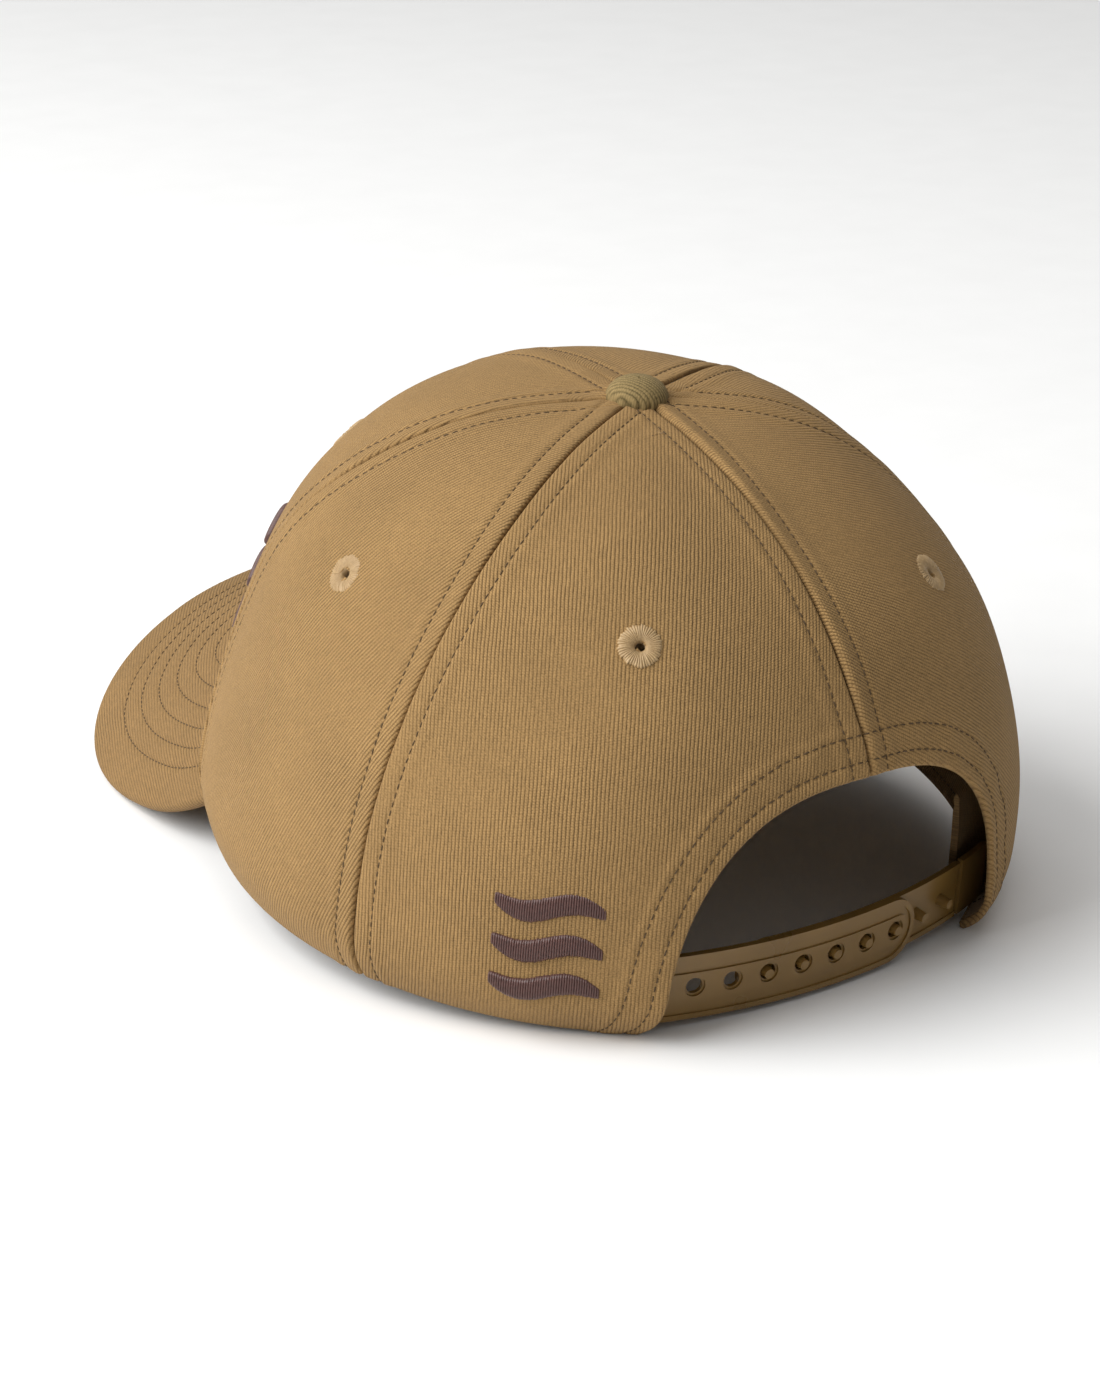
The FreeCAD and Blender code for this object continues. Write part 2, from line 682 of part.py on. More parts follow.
def build():
    """All the pieces, level with the crown's lower edge."""
    pieces = {}
    opening = arch_prism()
    board_depth = VISOR_CLOTH + VISOR_BOARD
    visor_block = visor_layer(-0.02, board_depth + VISOR_CLOTH + 0.02)
    panels = {
        "back": panel(*PANEL_SEAMS["back"]).cut(opening),
        "side": panel(*PANEL_SEAMS["side"]),
        "front": panel(*PANEL_SEAMS["front"], lift=VISOR_CREASE),
    }
    stiffener = panel(*PANEL_SEAMS["front"], LINING_FROM, STIFFENER_TO, STIFFENER_LIFT, STIFFENER_HOLE)
    stiffener = stiffener.cut(visor_block)
    for spot, shape in panels.items():
        through = STIFFENER_TO if spot == "front" else CLOTH
        left = shape.cut(eyelet_post(spot + "_left", EYELET_BARREL))
        ring = eyelet(spot + "_left", through)
        pieces["panel_" + spot + "_left"] = left
        pieces["panel_" + spot + "_right"] = mirrored(left)
        pieces["eyelet_" + spot + "_left"] = ring
        pieces["eyelet_" + spot + "_right"] = mirrored(ring)
    stiffener = stiffener.cut(eyelet_post("front_left", EYELET_BARREL))
    pieces["stiffener_left"] = stiffener
    pieces["stiffener_right"] = mirrored(stiffener)

    over = STIFFENER_TO + LAYER_GAP
    side_back = tape(BACK_SEAM, LINING_FROM, LINING_TO, tape_low)
    side_front = tape(FRONT_SEAM, over, over + TAPE_THICK, tape_low).cut(visor_block)
    pieces["tape_side_back_left"] = side_back
    pieces["tape_side_back_right"] = mirrored(side_back)
    pieces["tape_side_front_left"] = side_front
    pieces["tape_side_front_right"] = mirrored(side_front)
    pieces["tape_middle_front"] = tape(MIDDLE_FRONT, over, over + TAPE_THICK, tape_low).cut(visor_block)
    hem_top = ARCH_HEIGHT + HEM_WIDTH + TAPE_THICK
    pieces["tape_middle_back"] = tape(MIDDLE_BACK, LINING_FROM, LINING_TO, lambda angle: hem_top)

    facing = shell_solid(
        lambda s, z: math.radians(FACING_HALF_ANGLE * (2 * s - 1)), lambda s: 0.0, lambda s, depth: FACING_TOP,
        31, 33, LINING_FROM, LINING_TO)
    pieces["arch_facing"] = facing.common(arch_prism(HEM_WIDTH)).cut(opening).Solids[0]
    pieces["sweatband"] = sweatband().cut(visor_block).Solids[0]

    board = visor_layer(VISOR_CLOTH, board_depth, 1.3)
    pieces["visor_cloth_top"] = visor_layer(0.0, board_depth).cut(
        visor_layer(VISOR_CLOTH, board_depth + 1.0, 1.3, 1.0)).Solids[0]
    pieces["visor_board"] = board
    pieces["visor_cloth_under"] = visor_layer(board_depth, board_depth + VISOR_CLOTH)

    pieces["button_cover"] = button_cover()
    pieces["button_core"] = button_core()
    pieces["button_backing"] = button_backing()

    pieces["embroidery_back"] = embroidery(
        math.radians(BADGE_ANGLE), BADGE_HEIGHT, BADGE_WIDTH, BADGE_TALL, SATIN_RAISE)
    pieces["embroidery_front"] = front_embroidery()

    pieces["strap_holes"] = strap_holes()
    pieces["strap_pegs"] = strap_pegs()
    pieces["strap_tab_left"] = strap_tab(1)
    pieces["strap_tab_right"] = strap_tab(-1)
    return pieces


def resting_place(pieces):
    """Turn about X that puts the visor's edges and the crown's back corners on the floor, and the move
    that then brings the middle of the footprint to the origin."""
    def points_of(*names):
        return [point for name in names for point in pieces[name].tessellate(0.3)[0]]

    def turned_points(points, tilt):
        rotation = FreeCAD.Rotation(Vector(1, 0, 0), -tilt)
        return [rotation.multVec(point) for point in points]

    def lowest(points, tilt):
        return min(point.z for point in turned_points(points, tilt))

    visor = points_of("visor_cloth_top", "visor_cloth_under")
    back = points_of("panel_back_left")
    low, high = 0.0, 15.0
    for _ in range(24):
        tilt = (low + high) / 2
        if lowest(visor, tilt) < lowest(back, tilt):
            low = tilt
        else:
            high = tilt
    placed = turned_points(visor + back + points_of("embroidery_back"), tilt)
    front_most = min(point.y for point in placed)
    back_most = max(point.y for point in placed)
    return tilt, Vector(0, -(front_most + back_most) / 2, -min(point.z for point in placed))


os.makedirs("parts", exist_ok=True)
model = build()
rest_tilt, rest_move = resting_place(model)
print("rest tilt", rest_tilt, "move", rest_move)
for name, radius, side in (("holes", STRAP_RADIUS, 1), ("pegs", INNER_RADIUS, -1)):
    pivot = strap_centre() + strap_direction(side * HINGE_X, radius) * radius + Vector(0, 0, STRAP_MIDDLE_Z)
    print("hinge of", name, FreeCAD.Rotation(Vector(1, 0, 0), -rest_tilt).multVec(pivot) + rest_move)
for name, shape in model.items():
    shape.rotate(Vector(0, 0, 0), Vector(1, 0, 0), -rest_tilt)
    shape.translate(rest_move)
    print(name, shape.ShapeType, shape.isValid(), round(shape.Volume, 1), len(shape.Solids))
    shape.exportStep("parts/" + name + ".step")
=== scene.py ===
import json
import math

import bpy
import numpy as np
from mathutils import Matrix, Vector


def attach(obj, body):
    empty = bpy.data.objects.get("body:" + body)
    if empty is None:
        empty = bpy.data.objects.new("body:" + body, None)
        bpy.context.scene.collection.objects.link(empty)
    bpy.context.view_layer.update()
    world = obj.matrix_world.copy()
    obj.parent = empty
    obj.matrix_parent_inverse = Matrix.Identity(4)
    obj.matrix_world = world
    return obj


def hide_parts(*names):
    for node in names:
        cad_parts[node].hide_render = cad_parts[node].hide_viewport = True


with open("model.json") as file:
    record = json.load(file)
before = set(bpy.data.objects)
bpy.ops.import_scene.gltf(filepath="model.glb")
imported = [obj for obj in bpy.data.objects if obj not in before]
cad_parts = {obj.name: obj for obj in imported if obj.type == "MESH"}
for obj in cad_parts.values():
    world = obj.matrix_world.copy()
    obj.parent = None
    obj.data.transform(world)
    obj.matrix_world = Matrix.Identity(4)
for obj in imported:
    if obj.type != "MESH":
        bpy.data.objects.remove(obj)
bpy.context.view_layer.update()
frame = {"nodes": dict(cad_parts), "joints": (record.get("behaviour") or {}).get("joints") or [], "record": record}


# ---------------------------------------------------------------- the six crown panels
# Gores of brushed cotton twill sewn edge to edge and top-stitched on both sides of every seam. The two
# back gores are cut away over the strap and their raw edge is turned in. Each gore lies on one dome,
# measured in millimetres level with the crown's edge; angles run from the back to the wearer's left.
CROWN_HALF_WIDTH = 96.4
CROWN_FRONT = 102.3
CROWN_BACK = 100.7
CROWN_HEIGHT = 113.3
WALL_START = 7.4
RISE_POWER = (2.9, 1.5, 1.7)        # roundness of the dome at the back, the side and the front
PLAN_POWER = (1.8, 2.9, 3.1)
TUCK_HEIGHT = 13.0          # below this the wall draws in, by these shares of the radius
TUCK = (0.08, 0.04, 0.04)
EDGE_SOFTEN = 4.0           # rounds the turn where the lower edge starts to climb over the visor
EDGE_DROP = 0.04
# How far the crown is pushed out, then the angle and the height of that place, each with its spread.
PUSHED_OUT = ((2.4, 125, 32, 78, 26), (1.1, -58, 30, 55, 25))
PUSHED_UP = (1.4, -39, 3, 18)       # how far, where across and along, and its spread
PUSHED_ABOVE = 60
HALVINGS = 36               # steps of the searches for a place on the dome
MIDDLE_BACK = (0.0, 0.0, 0.0)       # angle of a seam at the foot, half way up and at the top
BACK_SEAM = (71.0, 70.4, 63.5)
FRONT_SEAM = (120.5, 129.0, 111.0)
MIDDLE_FRONT = (180.0, 180.0, 180.0)
CROWN_HOLE = 4.0            # radius left open under the button
SEAM_NARROWEST = 0.38       # most that a line leaves its seam, as a share of the radius there
DOME_CENTRE = np.array([0.0, 0.0, 30.0])
ARCH_HALF_WIDTH = 46.8
ARCH_HEIGHT = 59.3
ARCH_POWER = 2.5
VISOR_TOP = 29.9
VISOR_SLOPE = math.radians(22.7)
VISOR_ROLL = 90.0
EYELET_HEIGHTS = {"back": 85.9, "side": 80.5, "front": 85.9}
CLOTH = 0.85
HEM_THICKNESS = 1.7         # the cloth turned in on itself
HEM_STEP = (1.2, 2.4)       # where it thins to one layer, from the edge
SEAM_HALF_GAP = 0.12
SEAM_FOLD = 0.9             # radius of the fold at a seam
SEAM_FOLD_DROP = 0.8
SEAM_RIDGE = (1.6, 1.5)     # place and width of the ridge beside a seam
SEAM_ROW = 4.8              # top-stitching, from the seam
SEAM_ALLOWANCE = (6.2, 9.2)     # where the turned cloth under a seam ends
SEAM_ALLOWANCE_RISE = 0.25
SEAM_PUCKER = 0.06
SEAM_PUCKER_SIZE = 13
SEAM_PUCKER_END = (4, 11)
HEM_ROWS = (3.6, 9.4)       # from the edge of the back opening
HEM_END = (9.8, 12.5)
HEM_RISE = 0.35
HEM_PUCKER = 0.20
HEM_PUCKER_SIZE = 6.5
HEM_PUCKER_REACH = 3.0      # to each side of a row
HEM_ROW_DEPTH = 0.26
ROW_DEPTH = 0.30
ROW_WIDTH = 0.6             # of the groove that a row of stitching pulls into the cloth
VISOR_CREASE = 0.6          # the front gores stop this far above the visor
DENT_SIZE = 55
DENT_DEPTH = 0.45
SMOOTH_ABOVE_EDGE = 12      # the dents fade out towards the lower edge
EYELET_PULL = 0.3
EYELET_PULL_REACH = 7.5
PUNCHED_HOLE = 2.5          # radius cut out of the cloth under an eyelet
BACK_GRID = (112, 112)      # points across and up a gore
GORE_GRID = (104, 150)
RIB = 0.87                  # spacing of the twill's cords
PICK = 0.60                 # spacing of the weft between two cords

edge_up = -np.array(frame["joints"][0]["axis"])
edge_place = next(m for m in frame["record"]["mounts"] if m["name"] == "head_opening")["pos_m"]


def filled_out(points):
    """The crown as it was pushed out from the inside: fuller by the wearer's left temple, on the right of
    the back and over the top on the right."""
    x, y, z = np.moveaxis(np.asarray(points, float), -1, 0)
    around, radius = np.degrees(np.arctan2(x, y)), np.maximum(np.hypot(x, y), 1.0)
    push = sum(far * np.exp(-((around - angle) / wide) ** 2 - ((z - height) / tall) ** 2)
               for far, angle, wide, height, tall in PUSHED_OUT)
    far, across, along, spread = PUSHED_UP
    lift = far * np.exp(-((x - across) ** 2 + (y - along) ** 2) / spread ** 2) * (z > PUSHED_ABOVE)
    return np.stack([x * (1 + push / radius), y * (1 + push / radius), z + lift], -1)


def stand(points):
    """Millimetres level with the crown's edge, to metres on the floor where the cap rests on its visor."""
    x, y, z = np.moveaxis(filled_out(points) / 1000, -1, 0)
    lean, upright = edge_up[1], edge_up[2]
    return np.stack([x, upright * y + lean * z + edge_place[1], upright * z - lean * y + edge_place[2]], -1)


def round_crown(angle, values):
    """Smooth value round the crown from its values at the back, the side and the front."""
    w = (1 - np.cos(angle)) / 2
    return values[0] * (1 - w) * (1 - 2 * w) + values[1] * 4 * w * (1 - w) + values[2] * w * (2 * w - 1)


def crown_radius(angle, height, depth=0.0):
    half_length = np.where(np.cos(angle) > 0, CROWN_BACK, CROWN_FRONT)
    plan = 1 / np.hypot(np.sin(angle) / (CROWN_HALF_WIDTH - depth), np.cos(angle) / (half_length - depth))
    rise = np.clip((height - WALL_START) / (CROWN_HEIGHT - depth - WALL_START), 0, 1)
    share = (1 - rise ** round_crown(angle, RISE_POWER)) ** (1 / round_crown(angle, PLAN_POWER))
    low = np.clip((TUCK_HEIGHT - height) / TUCK_HEIGHT, 0, 1)
    return plan * share * (1 - round_crown(angle, TUCK) * low * low)


def height_near_top(angle, radius):
    """Height where the dome has closed in to a small radius under the button."""
    share = radius / crown_radius(angle, WALL_START)
    rise = (1 - share ** round_crown(angle, PLAN_POWER)) ** (1 / round_crown(angle, RISE_POWER))
    return WALL_START + rise * (CROWN_HEIGHT - WALL_START)


def crown(angle, height, depth=0.0):
    angle, height = np.broadcast_arrays(np.asarray(angle, float), np.asarray(height, float))
    radius = crown_radius(angle, height, depth)
    return np.stack([radius * np.sin(angle), radius * np.cos(angle), height], -1)


def onto_crown(points, depth=0.0):
    """Moves points along lines from the middle of the dome until they lie on it."""
    rays = np.asarray(points, float) - DOME_CENTRE
    near, far = np.full(rays.shape[:-1], 0.4), np.full(rays.shape[:-1], 1.8)
    for _ in range(HALVINGS):
        reach = (near + far) / 2
        x, y, z = np.moveaxis(DOME_CENTRE + rays * reach[..., None], -1, 0)
        inside = np.hypot(x, y) < crown_radius(np.arctan2(x, y), z, depth)
        near, far = np.where(inside, reach, near), np.where(inside, far, reach)
    return DOME_CENTRE + rays * reach[..., None]


def crown_edge(angle):
    """Height of the crown's lower edge, which rides up over the visor in front."""
    low, high = np.full(np.shape(angle), -80.0), np.full(np.shape(angle), 60.0)
    for _ in range(HALVINGS):
        height = (low + high) / 2
        x, y, _ = np.moveaxis(crown(angle, height), -1, 0)
        ahead = -(y + CROWN_FRONT) / math.cos(VISOR_SLOPE)
        drop = VISOR_ROLL * (1 - np.sqrt(np.clip(1 - (x / VISOR_ROLL) ** 2, 0, 1)))
        under = height < VISOR_TOP - ahead * math.sin(VISOR_SLOPE) - drop
        low, high = np.where(under, height, low), np.where(under, high, height)
    softened = (height + np.hypot(height, EDGE_SOFTEN)) / 2 - EDGE_DROP
    return np.where(np.cos(angle) > -0.2, 0.0, softened)


def seam_foot(seam):
    """Height of the crown's lower edge at the foot of a seam."""
    return float(crown_edge(np.array([math.radians(seam[0])]))[0])


def length_along(line):
    """Length from the start of a line to each of its points."""
    return np.concatenate([[0], np.cumsum(np.linalg.norm(np.diff(line, axis=0), axis=1))])


def even(line, shares):
    """Places at the given shares of a line's length."""
    run = length_along(line)
    return np.stack([np.interp(np.asarray(shares) * run[-1], run, line[:, k]) for k in range(3)], -1)


def seam_line(seam, shift, low, high, depth=0.0):
    """Line up the crown along a seam, moved sideways by shift."""
    height = high - (high - low) * np.linspace(1, 0, 240) ** 3
    w = np.linspace(0, 1, 41)
    angles = seam[0] * (1 - w) * (1 - 2 * w) + seam[1] * 4 * w * (1 - w) + seam[2] * w * (2 * w - 1)
    angle = np.radians(np.interp(height / CROWN_HEIGHT, w, angles))
    radius = np.maximum(crown_radius(angle, height), 2.0)
    most = SEAM_NARROWEST * radius
    return crown(angle + np.clip(shift, -most, most) / radius, height, depth)


def arch_line(grow, depth=0.0, start=0.0, end=math.pi, count=240):
    """Line round the back opening on the dome, from the wearer's left foot of the arch to the right."""
    turn = np.linspace(start, end, count)
    x = (ARCH_HALF_WIDTH + grow) * np.sign(np.cos(turn)) * np.abs(np.cos(turn)) ** (2 / ARCH_POWER)
    height = (ARCH_HEIGHT + grow) * np.abs(np.sin(turn)) ** (2 / ARCH_POWER)
    low, high = np.zeros(count), np.full(count, 1.3)
    for _ in range(HALVINGS):
        angle = (low + high) / 2
        inside = crown_radius(angle, height, depth) * np.sin(angle) < np.abs(x)
        low, high = np.where(inside, angle, low), np.where(inside, high, angle)
    return crown(np.copysign(angle, x), height, depth)


def crowded(count, crowd=0.5):
    """Shares from 0 to 1 that lie closer together at both ends."""
    t = np.linspace(0, 1, count)
    return t - crowd * np.sin(2 * math.pi * t) / (2 * math.pi)


def patch(bottom, top, left, right, across, upward, depth=0.0):
    """Grid of points on the dome between four edge lines."""
    bottom, top = even(bottom, across), even(top, across)
    left, right = even(left, upward), even(right, upward)
    u, v = across[None, :, None], upward[:, None, None]
    corners = ((1 - u) * (1 - v) * bottom[0] + u * (1 - v) * bottom[-1]
               + (1 - u) * v * top[0] + u * v * top[-1])
    between = (1 - v) * bottom + v * top + (1 - u) * left[:, None] + u * right[:, None] - corners
    return onto_crown(between, depth)


def outward(grid):
    """Direction out of the cloth at each point of a grid."""
    way = np.cross(np.gradient(grid, axis=1), np.gradient(grid, axis=0))
    way /= np.maximum(np.linalg.norm(way, axis=-1, keepdims=True), 1e-12)
    return way * np.sign(np.sum(way * (grid - DOME_CENTRE), -1, keepdims=True) + 1e-12)


def distances(grid):
    """How far each point lies from the four edges of its grid."""
    across = np.linalg.norm(np.diff(grid, axis=1), axis=-1)
    upward = np.linalg.norm(np.diff(grid, axis=0), axis=-1)
    left = np.pad(np.cumsum(across, axis=1), ((0, 0), (1, 0)))
    bottom = np.pad(np.cumsum(upward, axis=0), ((1, 0), (0, 0)))
    return {"left": left, "right": left[:, -1:] - left, "bottom": bottom, "top": bottom[-1:] - bottom}


def uneven(points, size, seed):
    """Soft random swell over the cloth, about from -1 to 1, with dents of the given size."""
    chance = np.random.default_rng(seed)
    total = 0.0
    for _ in range(7):
        way = chance.normal(size=3)
        way *= 2 * math.pi / (np.linalg.norm(way) * size * chance.uniform(0.8, 1.7))
        total = total + np.sin(points @ way + chance.uniform(0, 2 * math.pi))
    return total / 3


def bump(distance, middle, width):
    return np.exp(-((distance - middle) / width) ** 2)


def fade(distance, start, end):
    """1 up to start, falling smoothly to 0 at end."""
    t = np.clip((end - distance) / (end - start), 0, 1)
    return t * t * (3 - 2 * t)


def rounded(distance, radius):
    """How far a folded edge has turned down at a distance from the fold."""
    left = np.clip(radius - distance, 0, radius)
    return radius - np.sqrt(radius * radius - left * left)


def make(name, vertices, faces, material, uv=None, crease=50):
    """Adds a mesh of points in metres, with its cloth pattern in millimetres as UVs."""
    mesh = bpy.data.meshes.new(name)
    mesh.from_pydata(vertices, [], faces)
    if uv is not None:
        corners = np.zeros(len(mesh.loops), np.int32)
        mesh.loops.foreach_get("vertex_index", corners)
        mesh.uv_layers.new(name="cut").data.foreach_set("uv", np.asarray(uv, np.float32)[corners].ravel())
    mesh.shade_smooth()
    mesh.set_sharp_from_angle(angle=math.radians(crease))
    mesh.materials.append(material)
    piece = bpy.data.objects.new(name, mesh)
    bpy.context.scene.collection.objects.link(piece)
    return piece


def layer(name, outer, inner, material, cut=None, keep=None, ring=False, crease=50):
    """Closed layer between two grids. keep marks the cells that aren't cut out, ring joins its two ends."""
    rows, columns = outer.shape[:2]
    number = np.arange(rows * columns).reshape(rows, columns)
    if ring:
        number = np.concatenate([number, number[:, :1]], axis=1)
    cells = np.stack([number[:-1, :-1], number[:-1, 1:], number[1:, 1:], number[1:, :-1]], -1)
    cells = cells.reshape(-1, 4) if keep is None else cells[keep]
    edges = np.concatenate([cells[:, [k, (k + 1) % 4]] for k in range(4)])
    _, first, uses = np.unique(np.sort(edges, axis=1), axis=0, return_index=True, return_counts=True)
    rim = edges[first[uses == 1]]
    count = rows * columns
    walls = np.stack([rim[:, 1], rim[:, 0], rim[:, 0] + count, rim[:, 1] + count], -1)
    faces = np.concatenate([cells, cells[:, ::-1] + count, walls])
    points = stand(np.concatenate([outer.reshape(-1, 3), inner.reshape(-1, 3)]))
    a, b, c, d = (points[faces[:, k]] for k in range(4))
    if np.sum(np.cross(b - a, c - a) * a) + np.sum(np.cross(c - a, d - a) * a) < 0:
        faces = faces[:, ::-1]
    used, faces = np.unique(faces, return_inverse=True)
    uv = None if cut is None else np.concatenate([cut.reshape(-1, 2)] * 2)[used]
    return make(name, points[used], faces.reshape(-1, 4).tolist(), material, uv, crease)


def shade(code, alpha=1.0):
    """sRGB hex colour as the linear colour that a shader takes."""
    parts = [int(code[k:k + 2], 16) / 255 for k in (1, 3, 5)]
    return tuple(p / 12.92 if p <= 0.04045 else ((p + 0.055) / 1.055) ** 2.4 for p in parts) + (alpha,)


def add(tree, kind, inputs, **settings):
    """Adds one shader node with its settings, values and links, and gives back its first output."""
    node = tree.nodes.new("ShaderNode" + kind)
    for key, value in settings.items():
        setattr(node, key, value)
    for key, value in inputs.items():
        if isinstance(value, bpy.types.NodeSocket):
            tree.links.new(value, node.inputs[key])
        else:
            node.inputs[key].default_value = value
    return node.outputs[0] if node.outputs else node


def finish(name):
    """An empty material and its node tree, with every node cleared out of it."""
    material = bpy.data.materials.new(name)
    material.use_nodes = True
    material.node_tree.nodes.clear()
    return material, material.node_tree


def twill(name, cord, gap, rib, pick, relief, sheen):
    """Cotton twill: round cords side by side with the weft showing as dots in the gaps between them, which are
    painted darker as shade. Brushing lifts a short nap, which breaks up the cords, hides them in places and
    softens the shading."""
    material, tree = finish(name)
    pattern = add(tree, "UVMap", {}, uv_map="cut")
    wander = add(tree, "TexNoise", {"Vector": pattern, "Scale": 0.11, "Detail": 2.0})
    ways = add(tree, "SeparateXYZ", {0: pattern}).node.outputs
    across = add(tree, "Math", {0: wander, 1: 0.45, 2: ways[0]}, operation="MULTIPLY_ADD")
    cords = add(tree, "Math", {0: across, 1: 1 / rib}, operation="MULTIPLY")
    turn = add(tree, "Math", {0: cords, 1: math.pi}, operation="MULTIPLY")
    wave = add(tree, "Math", {0: add(tree, "Math", {0: turn}, operation="SINE")}, operation="ABSOLUTE")
    round_cord = add(tree, "Math", {0: wave, 1: 0.75}, operation="POWER")
    number = add(tree, "Math", {0: cords}, operation="FLOOR")
    step = add(tree, "Math", {0: ways[1], 1: 1 / pick}, operation="MULTIPLY")
    slant = add(tree, "Math", {0: number, 1: 0.38, 2: step}, operation="MULTIPLY_ADD")
    beat = add(tree, "Math", {0: slant, 1: math.pi}, operation="MULTIPLY")
    weft = add(tree, "Math", {0: add(tree, "Math", {0: beat}, operation="SINE")}, operation="ABSOLUTE")
    dots = add(tree, "Math", {0: weft, 1: 0.46, 2: 0.54}, operation="MULTIPLY_ADD")
    stretched = add(tree, "VectorMath", {0: pattern, 1: (2.6, 0.35, 1.0)}, operation="MULTIPLY")
    slub = add(tree, "TexNoise", {"Vector": stretched, "Scale": 1.0, "Detail": 3.0})
    nap = add(tree, "TexNoise", {"Vector": pattern, "Scale": 2.2, "Detail": 4.0, "Roughness": 0.75})
    brushing = add(tree, "TexNoise", {"Vector": pattern, "Scale": 0.022, "Detail": 2.0})
    hidden = add(tree, "MapRange", {
        "Value": brushing, "From Min": 0.35, "From Max": 0.65, "To Min": 0.0, "To Max": 0.6})
    bare = add(tree, "Math", {0: round_cord, 1: dots}, operation="MULTIPLY")
    body = add(tree, "Mix", {0: hidden, 2: bare, 3: 0.52})
    rough = add(tree, "Math", {0: nap, 1: 0.55, 2: body}, operation="MULTIPLY_ADD")
    height = add(tree, "Math", {0: slub, 1: 0.30, 2: rough}, operation="MULTIPLY_ADD")
    fuzz = add(tree, "MapRange", {
        "Value": nap, "From Min": 0.3, "From Max": 0.7, "To Min": -0.28, "To Max": 0.28})
    groove_shade_and_nap = add(tree, "Math", {0: body, 1: fuzz}, operation="ADD")
    # The colour runs from the gap colour in the grooves to the cord colour on the crests: painted shade in the
    # grooves, on top of the bump.
    ramp = tree.nodes.new("ShaderNodeValToRGB")
    ramp.color_ramp.elements[0].position = 0.10
    ramp.color_ramp.elements[0].color = shade(gap)
    ramp.color_ramp.elements[1].position = 0.72
    ramp.color_ramp.elements[1].color = shade(cord)
    tree.links.new(groove_shade_and_nap, ramp.inputs[0])
    patches = add(tree, "TexNoise", {"Vector": pattern, "Scale": 0.035, "Detail": 3.0})
    faded = add(tree, "MapRange", {
        "Value": patches, "From Min": 0.3, "From Max": 0.7, "To Min": 0.93, "To Max": 1.06})
    yarns = add(tree, "MapRange", {
        "Value": slub, "From Min": 0.25, "From Max": 0.75, "To Min": 0.82, "To Max": 1.16})
    tone = add(tree, "Math", {0: faded, 1: yarns}, operation="MULTIPLY")
    colour = add(tree, "HueSaturation", {"Color": ramp.outputs[0], "Value": tone})
    normal = add(tree, "Bump", {"Height": height, "Distance": relief, "Strength": 1.0})
    surface = add(tree, "BsdfPrincipled", {
        "Base Color": colour, "Roughness": 0.86, "IOR": 1.5, "Specular IOR Level": 0.25, "Normal": normal,
        "Sheen Weight": sheen, "Sheen Roughness": 0.45, "Sheen Tint": shade("#e8d3ae")})
    add(tree, "OutputMaterial", {"Surface": surface})
    return material


# In each twill the second colour is painted shade, laid into the grooves between the cords.
cap_twill = twill("brushed_cotton_twill_tan", "#9b7b4e", "#614828", RIB, PICK, 0.00022, 0.08)

